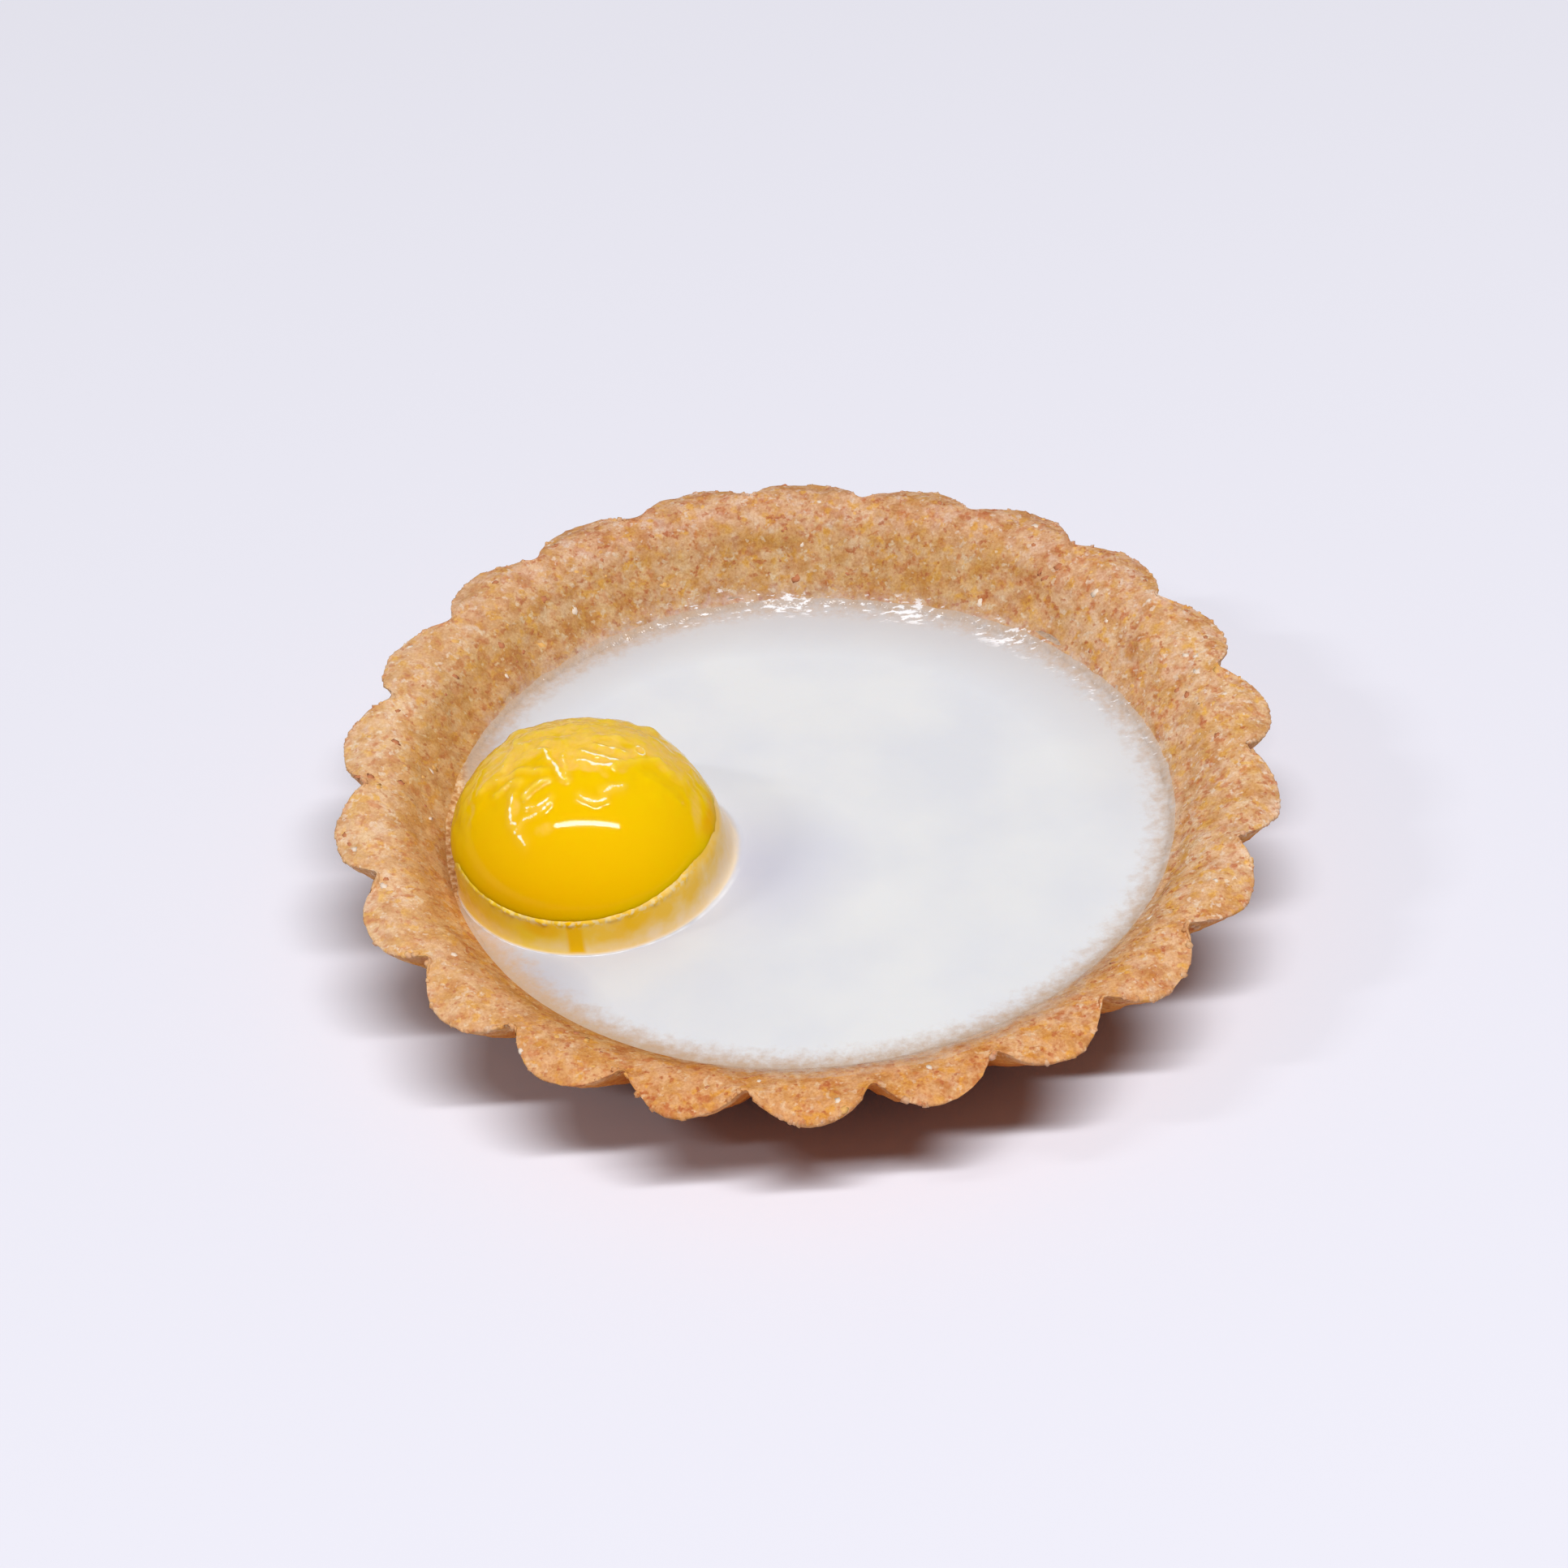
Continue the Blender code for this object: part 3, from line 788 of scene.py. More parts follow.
# %% Draw the folds of the skin
# shine is the strength of the painted highlight, a pale line along the fold's crest
FOLDS = (                         # width and shine of a fold, then its course, in mm
    (0.26, 0.9, (-2.6, 0.6), (-1.8, -1.1), (-1.0, -2.6)),
    (0.26, 0.5, (-1.1, 1.3), (-1.1, -0.7), (-0.8, -2.6)),
    (0.34, 0.4, (-7.1, -0.8), (-6.5, -0.6), (-5.2, -0.7), (-3.7, -0.8), (-2.6, -1.5)),
    (0.32, 0.3, (-6.8, -0.2), (-5.6, 0.1), (-5.2, 1.7), (-4.7, 3.2)),
    (0.30, 0.5, (-4.7, 3.2), (-3.5, 1.2), (-1.8, 0.4)),
    (0.36, 0.2, (-4.2, 4.0), (-2.1, 3.5), (-0.4, 4.2)),
    (0.30, 0.6, (-3.9, -3.1), (-3.3, -2.5), (-2.2, -2.4)),
    (0.30, 0.9, (-3.9, -4.0), (-3.0, -4.0), (-2.1, -3.8)),
    (0.26, 0.9, (-4.1, -4.7), (-3.0, -4.6), (-2.2, -4.2)),
    (0.36, 1.0, (-4.9, -2.6), (-5.1, -3.6), (-5.0, -4.6), (-4.4, -5.0)),
    (0.40, 0.8, (-4.7, -5.2), (-4.1, -6.2)),
    (0.34, 0.8, (-0.1, -3.8), (1.0, -4.2), (1.7, -4.0)),
    (0.34, 0.8, (1.6, -3.5), (2.9, -2.9)),
    (0.34, 1.0, (0.2, 0.1), (1.5, -0.3), (2.7, -0.6)),
    (0.32, 1.0, (-0.1, -0.8), (1.1, -1.2), (2.3, -1.1)),
    (0.34, 0.2, (2.6, -1.2), (4.3, 0.2), (5.6, 0.6)),
    (0.40, 0.0, (5.6, 0.6), (7.1, -0.2), (7.9, 1.5)),
    (0.44, 0.3, (3.6, 6.6), (4.9, 5.9), (5.9, 4.7)),
    (0.36, 0.1, (5.6, 3.6), (6.8, 2.6), (8.0, 2.4)),
    (0.36, 0.2, (-5.6, 4.6), (-6.2, 3.2), (-5.6, 2.2)),
    (0.36, 0.4, (0.4, 5.8), (1.8, 5.2), (3.4, 5.6)),
    (0.30, 0.3, (0.6, 1.8), (1.6, 2.3), (2.9, 2.2)),
    (0.30, 0.4, (-3.7, 2.2), (-3.1, 1.5), (-2.6, 2.0)),
    (0.28, 0.5, (-5.9, -1.8), (-4.9, -1.6), (-4.3, -1.9)),
    (0.30, 0.8, (1.0, 0.9), (2.3, 0.6), (3.3, 0.4)),
)
EYE_OF_FOLDS = (4.2, 1.0)         # a small ring on the crown, where folds meet
EYE_RADIUS = 0.42
PADS = ((-4.8, 5.4), (5.0, 5.9))
PAD_HEIGHT = 0.3
BEND, BEND_SIZE = 0.22, 1.1       # how far the folds waver, and over what length, in mm
noise.seed_set(1795538692)        # noise_vector takes its seed from the clock if it gets none


def on_crown(place):
    """Place from the yolk's middle, seen from above, in mm."""
    return (place.x - YOLK_CENTRE.x) / MM, (place.y - YOLK_CENTRE.y) / MM


def bent(x, y):
    """A place moved a little, so that no fold is straight, and its distance from the ring."""
    bend = noise.noise_vector(Vector((x, y, 0)) / BEND_SIZE)
    x, y = x + BEND * bend.x, y + BEND * bend.y
    return x, y, abs(math.hypot(x - EYE_OF_FOLDS[0], y - EYE_OF_FOLDS[1]) - EYE_RADIUS)


def to_course(x, y, course):
    """Distance from a place to a course of straight stretches."""
    nearest = math.inf
    for (x1, y1), (x2, y2) in zip(course, course[1:]):
        along = ((x - x1) * (x2 - x1) + (y - y1) * (y2 - y1)) / ((x2 - x1) ** 2 + (y2 - y1) ** 2)
        along = clamp(along)
        nearest = min(nearest, math.hypot(x - mix(x1, x2, along), y - mix(y1, y2, along)))
    return nearest


def fold_height(x, y):
    """Height of the folds, in mm: in front they are just steep enough to mirror the lamp."""
    x, y, ring = bent(x, y)
    steepness = 1.5 * math.tan(math.radians(min(35.0, max(6.0, 35.5 + 5.3 * y))))
    steepness *= 1 + 0.4 * noise.noise(Vector((x, y, 9)) / 0.7)
    tallest = mix(0.17, 0.09, smooth(y / 3 + 0.5))
    total = 0.12 * math.exp(-(ring / 0.16) ** 2)
    for width, shine, *course in FOLDS:
        away = to_course(x, y, course)
        if away < 3 * width:
            total += min(tallest, steepness * width) * math.exp(-(away / width) ** 2)
    for pad_x, pad_y in PADS:
        total += PAD_HEIGHT * math.exp(-((x - pad_x) ** 2 + (y - pad_y) ** 2) / 0.6)
    return total


def painted_glint_share(place, normal):
    """Painted highlight: 1 on a shiny fold's crest or the ring, 0 half a millimetre away."""
    if place.z < YOLK_WIDEST:
        return 0.0
    x, y, ring = bent(*on_crown(place))
    crests = [clamp(1 - to_course(x, y, course) / 0.5) * (0.55 + 0.45 * shine)
              for width, shine, *course in FOLDS if shine]
    return max(crests + [0.85 * clamp(1 - ring / 0.5)])


print(len(FOLDS), "folds and", len(PADS), "pads on the crown")

# %% Find where the skin is cloudy
FILM_EDGE = ((-9.9, 4.0), (-8.0, 1.2), (-7.0, -0.8), (-4.6, -1.2), (-2.6, 0.2), (-0.9, -2.4),
             (0.3, -2.2), (2.9, -1.6), (4.5, 0.6), (5.7, 0.0), (7.1, -0.4), (8.3, 3.2), (9.9, 5.0))
# patches: place, half width and half depth
CLEAR_PATCHES = ((-3.6, -0.4, 1.9, 0.8), (1.8, 4.3, 1.3, 0.45), (3.4, 1.4, 0.8, 0.5),
                 (5.4, 3.3, 0.8, 0.5), (-1.6, 2.3, 0.5, 1.0))
CLOUDY_PATCHES = ((-2.7, -5.7, 0.9, 0.5), (8.1, -1.6, 0.5, 2.4), (-4.7, -3.6, 0.5, 1.0),
                  (0.4, -4.2, 1.1, 0.4), (-3.0, -4.3, 0.9, 0.4))
STRIPE_HEIGHT = 12.6              # mm, of the deep stripe


def in_patches(x, y, patches):
    """1 in the middle of a patch, falling to 0 at its edge."""
    return max(smooth(1.4 - 1.4 * math.hypot((x - px) / rx, (y - py) / ry))
               for px, py, rx, ry in patches)


def cloudiness(place, normal):
    """Share of the cloudy film on the skin."""
    x, y = on_crown(place)
    if place.z < YOLK_WIDEST:
        return 0.0
    edge = 9.0                    # no film beside the crown
    for (x1, y1), (x2, y2) in zip(FILM_EDGE, FILM_EDGE[1:]):
        if x1 <= x <= x2:
            edge = mix(y1, y2, (x - x1) / (x2 - x1))
            break
    film = smooth((y - edge + 0.9 * noise.noise(Vector((x, y, 3)) / 0.9)) / 0.7)
    film *= 1 - 0.9 * in_patches(x, y, CLEAR_PATCHES)
    film *= smooth((x + 7.5 - 0.28 * (y + 1)) / 0.6 + 0.5)       # the left side stayed clear
    return max(film, 0.7 * in_patches(x, y, CLOUDY_PATCHES), min(0.6, 3 * fold_height(x, y)))


def depth_of_colour(place, normal):
    """1 on the deep stripe low on the yolk's right side."""
    side = place - YOLK_CENTRE
    level = smooth(1.5 - abs(place.z / MM - STRIPE_HEIGHT) / 0.7)
    return 0.8 * around(math.atan2(side.y, side.x), -5, 12, 1.6) * level


# %% Model the yolk
WRINKLE_SIZE = 4.2 * MM
WRINKLE_RELIEF = 0.35 * MM
YOLK_SEGMENTS, YOLK_RINGS = 300, 260


def yolk_form(point, normal):
    """Place on the yolk of a point of the unit sphere."""
    shoulder = 1.0
    if abs(point.z) < 0.99999:
        shoulder = math.sqrt((1 - abs(point.z) ** YOLK_SHOULDER) / (1 - point.z**2))
    height = YOLK_WIDEST + point.z * (YOLK_RISE if point.z > 0 else YOLK_DEPTH)
    lean = clamp((height - LEVEL) / (YOLK_CROWN - LEVEL))
    flat = Vector((point.x, point.y, 0)) * YOLK_RADIUS * shoulder
    return YOLK_CENTRE + flat + YOLK_LEAN * lean + Vector((0, 0, height))


def wrinkled(point, normal):
    """Soft pads and thin folds of the loose skin over the crown."""
    over_crown = smooth((point.z - YOLK_WIDEST) / (0.5 * YOLK_RISE))
    if over_crown == 0:
        return point
    x, y = on_crown(point)
    loose = over_crown * smooth((y + 4.0) / 2.5)
    pad = WRINKLE_RELIEF * (math.hypot(noise.noise(point / WRINKLE_SIZE), 0.12) - 0.25)
    dimples = 0.10 * MM * noise.noise(Vector((x, y, 5)) / 1.0)
    dimples += 0.05 * MM * noise.noise(Vector((x, y, 7)) / 0.4)
    return point + normal * (loose * (pad + dimples) + over_crown * fold_height(x, y) * MM)


deselect()
bpy.ops.mesh.primitive_uv_sphere_add(segments=YOLK_SEGMENTS, ring_count=YOLK_RINGS, radius=1.0)
yolk = bpy.context.object
reshape(yolk, yolk_form)
for name, value_at in (("film", cloudiness), ("deep", depth_of_colour), ("crest", painted_glint_share)):
    keep_values(yolk, name, value_at)
reshape(yolk, wrinkled)
shade_smooth(yolk)


# %% Mix the yolk's material
def egg_yolk():
    """Soft yolk under its skin: deep yellow, wet and glossy, cloudier where the skin dried."""
    material, tree, ruler = new_material("egg_yolk_skin")
    across = add(tree, "SeparateXYZ", [ruler])
    height = add(tree, "SeparateXYZ", [ruler], "Z")
    film, deep, crest = (add(tree, "Attribute", attribute_name=name)
                         for name in ("film", "deep", "crest"))
    streaks = add(tree, "TexNoise", {"Vector": ruler, "Scale": 1 / 1.1, "Detail": 4,
                                     "Roughness": 0.6, "Distortion": 0.8})
    streaks = add(tree, "MapRange", [streaks, 0.3, 0.65, 0.25, 1.0])
    cloudy = add(tree, "Math", [film, streaks], operation='MULTIPLY')
    breaks, dried = (add(tree, "TexNoise", {"Vector": ruler, "Scale": 1 / size, "Detail": 2})
                     for size in (0.5, 0.45))
    # painted highlights: pale cream lines along the shiny folds' crests, broken by a noise
    crest = add(tree, "Math", [breaks, 0.8, crest], operation='MULTIPLY_ADD')
    crest = add(tree, "MapRange", [crest, 1.17, 1.33, 0.0, 0.85])
    # painted shade: the yolk's left side, lit most by the lamp on the left, is darkened a little
    left = add(tree, "MapRange", [across, -12.0, -25.0])
    tone = add(tree, "Mix", {FACTOR: add(tree, "MapRange", [height, 10.5, 17.5]),
                             FIRST: "F5BF00", SECOND: "F3C900"})
    for share, hex_code, blend in ((left, "F8F000", 'MULTIPLY'), (cloudy, "F8CA5E", 'MIX'),
                                   (deep, "F0A800", 'MIX'), (crest, "FFF8E8", 'MIX')):
        tone = add(tree, "Mix", {FACTOR: share, FIRST: tone, SECOND: hex_code}, blend_type=blend)

    # it shines most on top, and hardly at its sides
    shine = add(tree, "MapRange", [height, 11.0, 15.0, 0.04, 0.3])
    aside = add(tree, "Math", [across, YOLK_CENTRE.x / MM], operation='SUBTRACT')
    aside = add(tree, "Math", [aside], operation='ABSOLUTE')
    inward = add(tree, "MapRange", [aside, 6.5, 8.8, 1.0, 0.12])
    strength = add(tree, "Math", [film, 0.28], operation='MULTIPLY')
    connect(tree.nodes["Principled BSDF"], {
        "Base Color": tone, "Roughness": add(tree, "MapRange", [cloudy, 0.0, 1.0, 0.05, 0.09]),
        "Normal": add(tree, "Bump", {"Height": dried, "Strength": strength, "Distance": 0.12 * MM}),
        "IOR": 1.4, "Specular IOR Level": add(tree, "Math", [shine, inward], operation='MULTIPLY'),
        "Subsurface Weight": 0.85, "Subsurface Radius": (1.0, 0.8, 0.05),
        "Subsurface Scale": 1.6 * MM})
    return material


finish(yolk, "yolk_dome", egg_yolk(), "yolk")

# %% [markdown]
# ## The set white
#
# The white was poured in liquid, so it is level, but it creeps up where it wets the wall. Thin white
# also clings to the yolk: in front it hangs from the yolk's widest level as a thin amber band, and
# on the right and behind it widens to a clear, peach-coloured skirt. All of that follows rings round
# the yolk. So the white starts as a flat coin, turned from a line like the case, with one row of
# points for each ring. Then the rows of its top move to their places between the yolk and the wall,
# and those of its underside to the wall and the floor of the case.

# %% Find the wall and the yolk's side
WHITE_COLUMNS = 480
wall_found = {}


def wall_distance(turn, height):
    """How far the wall is from the yolk's middle, in a direction, at a height."""
    key = (round(turn / math.tau * WHITE_COLUMNS) % WHITE_COLUMNS, round(height / MM, 3))
    near, far = 0.0, 2 * RIM_RADIUS
    while key not in wall_found and far - near > 0.001 * MM:
        reach = (near + far) / 2
        x = YOLK_CENTRE.x + reach * math.cos(turn)
        y = YOLK_CENTRE.y + reach * math.sin(turn)
        plain = height / (1 + TILT_SLOPE * y)
        edge = inner_radius(plain) + clamp(plain / RIM_HEIGHT) * rim_shift(math.atan2(y, x))
        if math.hypot(x, y) < edge:
            near = reach
        else:
            far = reach
    return wall_found.setdefault(key, near)


def yolk_reach(height):
    """Distance of the yolk's side from its middle at a height."""
    part = (height - YOLK_WIDEST) / (YOLK_RISE if height > YOLK_WIDEST else YOLK_DEPTH)
    return YOLK_RADIUS * math.sqrt(max(0.0, 1 - abs(part) ** YOLK_SHOULDER))


print(f"white beside the yolk: {(wall_distance(math.pi, LEVEL) - yolk_reach(LEVEL)) / MM:.2f} mm")

# %% Turn the coin
SEAT_ROWS, BAND_ROWS, FIELD_ROWS, EDGE_ROWS, UNDER_ROWS = 6, 26, 56, 16, 10
TOP_ROWS = SEAT_ROWS + BAND_ROWS + FIELD_ROWS + EDGE_ROWS
coin_top = [Vector((row * MM, 0, MM)) for row in range(TOP_ROWS + 1)]
coin_under = [Vector((TOP_ROWS * (1 - row / UNDER_ROWS) * MM, 0, -MM)) for row in range(UNDER_ROWS + 1)]
white = turn_line(draw_line("white", coin_top + coin_under), WHITE_COLUMNS)

# %% Say where the band and the skirt hang
MENISCUS_WIDTH = 2.4 * MM
BITE = 0.5 * MM                   # the white soaks this far into the wall, so its edge is ragged
BURY = 0.12 * MM                  # the white's edges end inside their neighbours, so no gap shows
BAND_LIP = 0.06 * MM              # the band's upper edge is a fine beaded line
LIP_AT = 0.09                     # share of the band's width above that line
SKIRT_TURN = math.radians(26)     # the skirt is widest behind the yolk's right side
SKIRT_SPREAD = math.radians(44)
SKIRT_WIDTH = 1.5 * MM
FOOT = 0.22 * MM                  # how far the band's foot curves out on the white
FOOT_TO_WALL = 0.4 * MM           # at least
WETTED = 0.45 * MM                # how far the white climbs the yolk's left side and back
SWELL, SWELL_SIZE = 0.06 * MM, 6 * MM
BANK_WIDTH = 3.0 * MM             # the white is uneven this near the wall
RIPPLES = ((0.10 * MM, 1.5 * MM), (0.05 * MM, 0.6 * MM))      # height and size, near the wall


def band_share(turn):
    """1 where the band or skirt hangs from the yolk, 0 at its left side and back."""
    return around(turn, -54, 20, 6.2)


def skirt_share(turn):
    """1 where the skirt is widest."""
    return math.exp(-(turned_from(turn, SKIRT_TURN) / SKIRT_SPREAD) ** 2)


def lip_share(turn):
    """1 where the band's upper edge stands out, 0 on the right, where it melts into the yolk."""
    turn = math.degrees(turned_from(turn, 0))
    return smooth((-28 - turn) / 20) * (1 - 0.6 * smooth((-120 - turn) / 30))


def band_top(turn):
    """Height of the band's upper edge."""
    rise = min(1.5, 2.2 * (1 - math.cos(turn + math.radians(105)))) * MM
    return mix(LEVEL + WETTED, YOLK_WIDEST + rise, band_share(turn))


print(f"the band starts {band_top(math.radians(-105)) / MM:.1f} mm up in front")


# %% Fit the coin between yolk and wall
def white_top(turn, row):
    """Distance from the yolk's middle, and height, of the white's top at a row of the coin."""
    top = band_top(turn)
    skirt = skirt_share(turn)
    band = band_share(turn)
    hung = yolk_reach(YOLK_WIDEST if band > 0.5 else mix(LEVEL, YOLK_WIDEST, band))
    climb = climb_at(turn)
    wall = wall_distance(turn, LEVEL + climb) + BITE
    foot = max(hung, yolk_reach(LEVEL)) + FOOT + SKIRT_WIDTH * skirt * band
    foot = min(foot, wall - FOOT_TO_WALL)
    edge = max(wall - MENISCUS_WIDTH, mix(foot, wall, 0.35))
    if row <= SEAT_ROWS:
        share = row / SEAT_ROWS
        seat = YOLK_WIDEST - YOLK_DEPTH - GAP
        height = mix(seat, top, share ** 2)
        reach = yolk_reach(max(height, seat + GAP)) + mix(GAP, -BURY, share)
        return reach * min(1, 3 * share), height
    row -= SEAT_ROWS
    if row <= BAND_ROWS:
        share = row / BAND_ROWS
        height = LEVEL + (top - LEVEL) * (1 - share) ** mix(1.15, 1.7, skirt)
        bead = max(0.0, 0.5 + 2 * noise.noise(Vector((math.cos(turn), math.sin(turn), 0)) * 21))
        bead *= math.exp(-((share - LIP_AT) / 0.06) ** 2)
        lip = BAND_LIP * lip_share(turn) * (1 + 1.6 * bead) * smooth(share / 0.06)
        side = yolk_reach(height) if height > YOLK_WIDEST else hung
        out = max(0.0, foot - hung - BAND_LIP) * mix(share ** 7, share ** 1.3, skirt)
        return side - BURY * (1 - smooth(share / 0.06)) + lip + out, height
    row -= BAND_ROWS
    if row <= FIELD_ROWS:
        share = row / FIELD_ROWS
        return mix(foot, edge, mix(share, smooth(share), 0.6)), LEVEL
    share = (row - FIELD_ROWS) / EDGE_ROWS
    return mix(edge, wall, share), LEVEL + climb * share ** 1.8


def fitted(point, normal):
    """Move a point of the coin to its place in the case."""
    turn = math.atan2(point.y, point.x)
    row = math.hypot(point.x, point.y) / MM
    if point.z < 0:
        share = row / TOP_ROWS
        height = mix(FLOOR_HEIGHT + GAP, LEVEL, clamp(2 * share - 1))
        reach = (wall_distance(turn, height) - GAP) * clamp(2 * share)
        return YOLK_CENTRE + Vector((reach * math.cos(turn), reach * math.sin(turn), height))
    reach, height = white_top(turn, row)
    place = YOLK_CENTRE + Vector((reach * math.cos(turn), reach * math.sin(turn), height))
    place += YOLK_LEAN * clamp((height - LEVEL) / (YOLK_CROWN - LEVEL))
    if row > SEAT_ROWS + BAND_ROWS:
        flat = Vector((place.x, place.y, 0))
        bank = smooth(1 - (wall_distance(turn, LEVEL) - reach) / BANK_WIDTH)
        bank *= mix(0.2, 1.0, behind(turn))
        place.z += SWELL * noise.noise(flat / SWELL_SIZE)
        place.z += bank * sum(tall * noise.noise(flat / size) for tall, size in RIPPLES)
    return place


# %% Mark the band, the skirt and the edge
def on_coin(place):
    """Direction of a point of the coin, and how far down the band it is, from 0 to 1 and beyond."""
    share = (math.hypot(place.x, place.y) / MM - SEAT_ROWS) / BAND_ROWS
    return math.atan2(place.y, place.x), share if place.z > 0 else math.inf


def amber_share(place, normal):
    """How amber the clear white looks: 1 on the band, falling to 0 at the skirt's foot."""
    turn, share = on_coin(place)
    if share > 1:
        return 0.0
    band = 1 - 0.3 * smooth((share - 0.4) / 0.4) - 0.7 * smooth((share - 0.88) / 0.12)
    skirt = 1.05 * (1 - clamp(share)) ** 0.9
    return mix(band, skirt, skirt_share(turn) ** 0.8) * mix(0.25, 1.0, band_share(turn))


def leak_share(place, normal):
    """Where yolk shows deeper through the band: one streak and a few blots."""
    turn, share = on_coin(place)
    if not 0 < share < 1:
        return 0.0
    streak = around(turn, -95.5, 2.0, 2.2) * smooth((0.93 - share) / 0.1)
    blots = max(smooth(1.5 - math.hypot((math.degrees(turn) - at) / 8, (share - 0.28) / 0.2))
                for at in (-109, -69))
    return max(streak, 0.8 * blots)


def thin_white_and_shade_share(place, normal):
    """1 on thin, greyer white by the wall, and on painted shade just in front of the yolk's foot."""
    turn, share = on_coin(place)
    if not 0.9 <= share < math.inf:
        return 0.0
    gap = (wall_distance(turn, LEVEL) - yolk_reach(YOLK_WIDEST)) / MM
    foot = math.exp(-max(0.0, (share - 1) * BAND_ROWS / FIELD_ROWS) * gap / 4.0)
    # painted shade: the second part darkens the white in front of the yolk, near its foot
    return max(smooth((12.0 - gap) / 8.0), around(turn, -95, 50, 1.6) * foot)


def painted_foot_highlight_share(place, normal):
    """Painted highlight: 1 on a thin white line along the foot of the band."""
    turn, share = on_coin(place)
    if not 0.85 < share < 1.1:
        return 0.0
    broken = clamp(0.75 + 1.2 * noise.noise(Vector((math.cos(turn), math.sin(turn), 3)) * 9))
    broken *= band_share(turn) * smooth(1.4 - 2 * skirt_share(turn))
    return broken * math.exp(-((share - 0.985) / 0.02) ** 2)


def bead_share(place, normal):
    """1 on the fine line of beads along the band's upper edge."""
    turn, share = on_coin(place)
    if not -0.1 < share < 0.4:
        return 0.0
    return lip_share(turn) * band_share(turn) * math.exp(-((share - LIP_AT) / 0.08) ** 2)


def down_wall(place, normal):
    """Distance from the white's edge, in mm, as a negative number."""
    side = place - YOLK_CENTRE
    turn = math.atan2(side.y, side.x)
    edge = wall_distance(turn, LEVEL + 0.7 * climb_at(turn))
    return (math.hypot(side.x, side.y) - edge) / MM + dry_at(turn)


print("amber at the top of the band:", round(amber_share(Vector((0, -SEAT_ROWS * MM, MM)), None), 2))

# %% Keep the marks and move the coin
for name, value_at in (("foot", painted_foot_highlight_share), ("beads", bead_share), ("amber", amber_share),
                       ("leak", leak_share), ("thin_white_and_shade", thin_white_and_shade_share)):
    keep_values(white, name, value_at)
reshape(white, fitted)
keep_values(white, "from_edge", down_wall)
shade_smooth(white)
print("points of the white:", len(white.data.vertices))


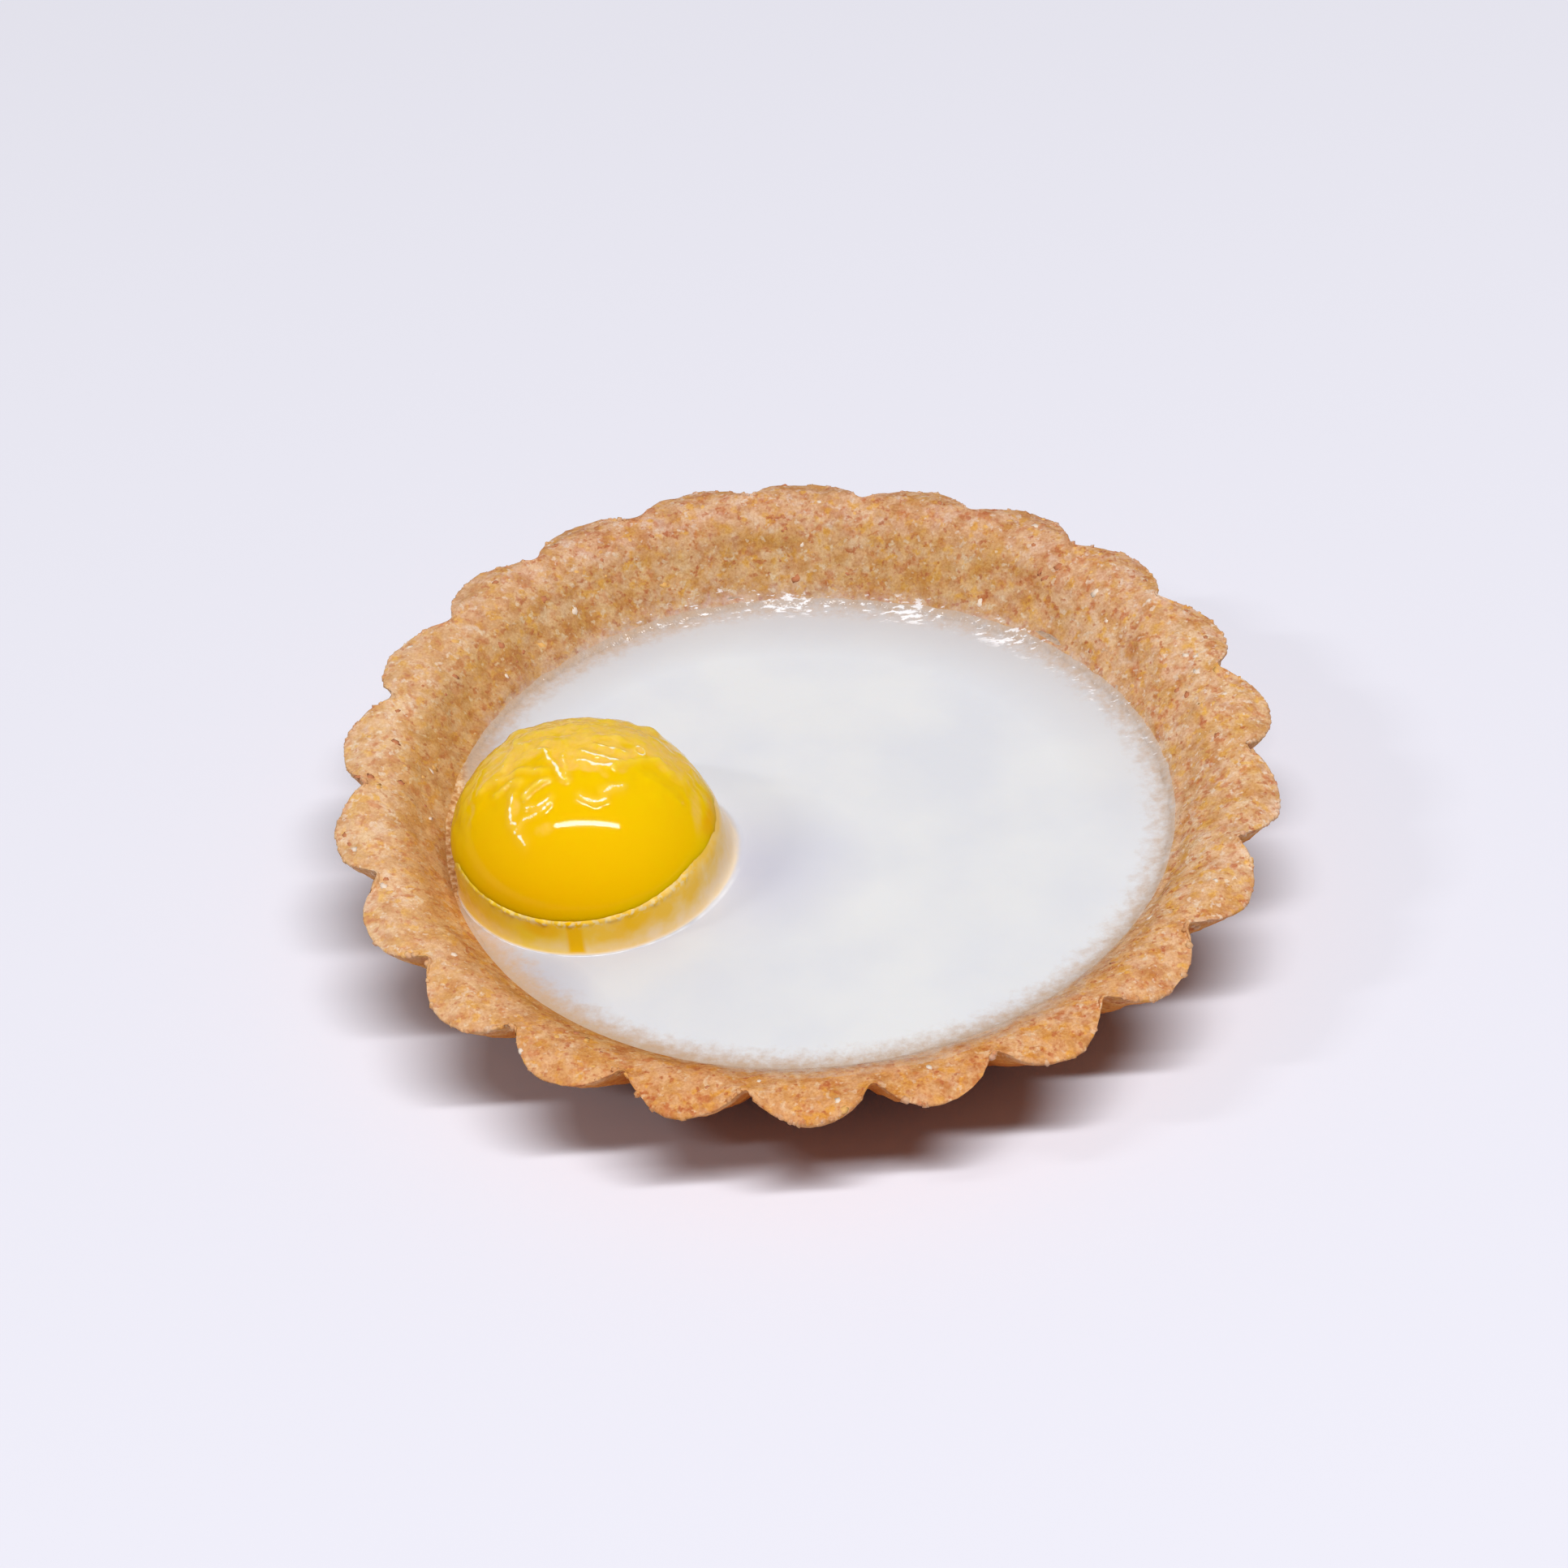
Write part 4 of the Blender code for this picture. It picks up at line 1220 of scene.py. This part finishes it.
# %% Mix the white's material
def set_white():
    """Set egg white: milky, moist, softly glossy, and a little clear at its edges."""
    material, tree, ruler = new_material("set_egg_white")
    edge, thin_white_and_shade, amber, leak, beads, foot = (
        add(tree, "Attribute", attribute_name=name)
        for name in ("from_edge", "thin_white_and_shade", "amber", "leak", "beads", "foot"))
    cloud, crumb, streaks, specks, ripple = (
        add(tree, "TexNoise", {"Vector": ruler, "Scale": 1 / size, "Detail": detail})
        for size, detail in ((9, 3), (0.4, 3), (1.4, 3), (0.35, 1), (0.55, 2)))
    tone = add(tree, "ValToRGB", [cloud], stops=((0.35, "DDDEE3"), (0.65, "E4E4E5")))

    # painted shadow of the yolk: bluish grey on the white to its right; the white greyer towards the
    # wall behind, and greyer where it is thin, with painted shade in front of the yolk's foot
    painted_yolk_shadow = add(tree, "VectorMath", [ruler, (-4.0, -6.0, 8.0)], "Value", operation='DISTANCE')
    painted_yolk_shadow = add(tree, "MapRange", [painted_yolk_shadow, 9.0, 1.0, 0.0, 0.85])
    soaked_share, back, painted_glints = soaked(tree, ruler, edge)
    greyer = add(tree, "Math", [add(tree, "MapRange", [edge, -8.0, -1.0]), back], operation='MULTIPLY')
    for share, hex_code, blend in ((painted_yolk_shadow, "CACAD9", 'MIX'), (greyer, "CAC5C5", 'MIX'),
                                   (thin_white_and_shade, "D8D9E3", 'MULTIPLY')):
        tone = add(tree, "Mix", {FACTOR: share, FIRST: tone, SECOND: hex_code}, blend_type=blend)

    # the crust shows through the soaked edge
    crumb = add(tree, "ValToRGB", [crumb], stops=((0.36, "BC7E48"), (0.5, "DCA66C"), (0.64, "F0CCA0")))
    under = add(tree, "Mix", {FACTOR: add(tree, "MapRange", [edge, 0.6, 1.8]),
                              FIRST: "C4A78E", SECOND: crumb})
    tone = add(tree, "Mix", {FACTOR: soaked_share, FIRST: under, SECOND: tone})

    # the amber band and the skirt, yellower on the left
    streaks = add(tree, "MapRange", [streaks, 0.3, 0.7, 0.8, 1.15])
    amber = add(tree, "Math", [amber, streaks], operation='MULTIPLY', use_clamp=True)
    has_amber = add(tree, "MapRange", [amber, 0.0, 0.3])
    clear = add(tree, "ValToRGB", [amber], stops=((0.0, "E8DCD0"), (0.3, "FFE9CC"), (0.55, "FFDFB0"),
                                                  (0.8, "FFD47A"), (1.0, "FFCA48")))
    left = add(tree, "MapRange", [add(tree, "SeparateXYZ", [ruler]), -14.0, -21.0, 0.0, 0.75])
    left = add(tree, "Math", [left, amber], operation='MULTIPLY')
    clear = add(tree, "Mix", {FACTOR: left, FIRST: clear, SECOND: "FFDC28"})
    specks = add(tree, "MapRange", [specks, 0.45, 0.6, 0.0, 0.7])
    beads = add(tree, "Math", [beads, specks], operation='MULTIPLY')
    # painted highlights: glints on the wet film, and a thin white line along the band's foot
    for share, over in ((painted_glints, PAINTED_GLINT_WHITE), (has_amber, clear), (leak, "FFC400"),
                        (beads, "F4E4B8"), (foot, WHITE)):
        tone = add(tree, "Mix", {FACTOR: share, FIRST: tone, SECOND: over})

    # wet bumps that glint near the wall, and a calm surface elsewhere
    wild = add(tree, "MapRange", [edge, -3.0, -0.6, 0.05, 1.0])
    strength = add(tree, "MapRange", [back, 0.0, 1.0, 0.25, 1.0])
    strength = add(tree, "Math", [wild, strength], operation='MULTIPLY')
    connect(tree.nodes["Principled BSDF"], {
        "Base Color": tone, "Roughness": 0.16, "IOR": 1.36,
        "Normal": add(tree, "Bump", {"Height": ripple, "Strength": strength, "Distance": 0.2 * MM}),
        "Specular IOR Level": add(tree, "MapRange", [has_amber, 0.0, 1.0, 0.5, 0.15]),
        "Subsurface Weight": 0.1, "Subsurface Radius": (1.0, 0.8, 0.6),
        "Subsurface Scale": 0.6 * MM})
    return material


finish(white, "set_white", set_white(), "filling")

# %% [markdown]
# ## Floor and light
#
# The tart stands on a plain, pale surface. A long lamp hangs above it and a little in front, and is
# brightest in its middle. It draws the bright bar on the yolk. A shorter lamp at the same height
# stands far to the left, and lights the right wall. The room is dark, so very little light comes
# from elsewhere, and the yolk keeps its deep colour.

# %% Lay the floor
deselect()
bpy.ops.mesh.primitive_plane_add(size=4.0)
floor = bpy.context.object
floor.name = "floor"


def pale_paper():
    """Matt, slightly lilac white paper, that greys a little with distance."""
    material, tree, ruler = new_material("pale_paper")
    share = add(tree, "MapRange", [add(tree, "SeparateXYZ", [ruler], "Y"), -60.0, 130.0])
    tone = add(tree, "Mix", {FACTOR: share, FIRST: "E8E7F1", SECOND: "E6E5EE"})
    connect(tree.nodes["Principled BSDF"],
            {"Base Color": tone, "Roughness": 0.9, "Specular IOR Level": 0.1})
    return material


floor.data.materials.append(pale_paper())
print("floor laid")

# %% Hang the lamp
LIGHT_AWAY = 1.6
LIGHT_THICKNESS = math.radians(3.6)
toward = Vector((0, -0.32, 1)).normalized()

# each lamp's left and right end are given as shares of its height
for name, left, right, watts in (("lamp_middle", -0.2, 0.45, 9.8), ("lamp_whole", -0.36, 0.56, 16.6),
                                 ("lamp_left", -1.4, -1.0, 10.5)):
    start, end = left * toward.z * LIGHT_AWAY, right * toward.z * LIGHT_AWAY
    bpy.ops.object.light_add(type='AREA',
                             location=toward * LIGHT_AWAY + Vector(((start + end) / 2, 0, 0)))
    lamp = bpy.context.object
    lamp.name = name
    lamp.data.shape = 'RECTANGLE'
    lamp.data.size = end - start
    lamp.data.size_y = 2 * LIGHT_AWAY * math.tan(LIGHT_THICKNESS / 2)
    lamp.data.energy = watts
    lamp.rotation_euler = (-toward).to_track_quat("-Z", "Y").to_euler()
    print(f"{name}: {end - start:.2f} m long")

world = bpy.data.worlds.new("dim_room")
bpy.context.scene.world = world
world.use_nodes = True
background = world.node_tree.nodes["Background"]
background.inputs["Color"].default_value = colour("F6F5FF")
background.inputs["Strength"].default_value = 0.1
bpy.context.scene.view_settings.view_transform = 'Standard'
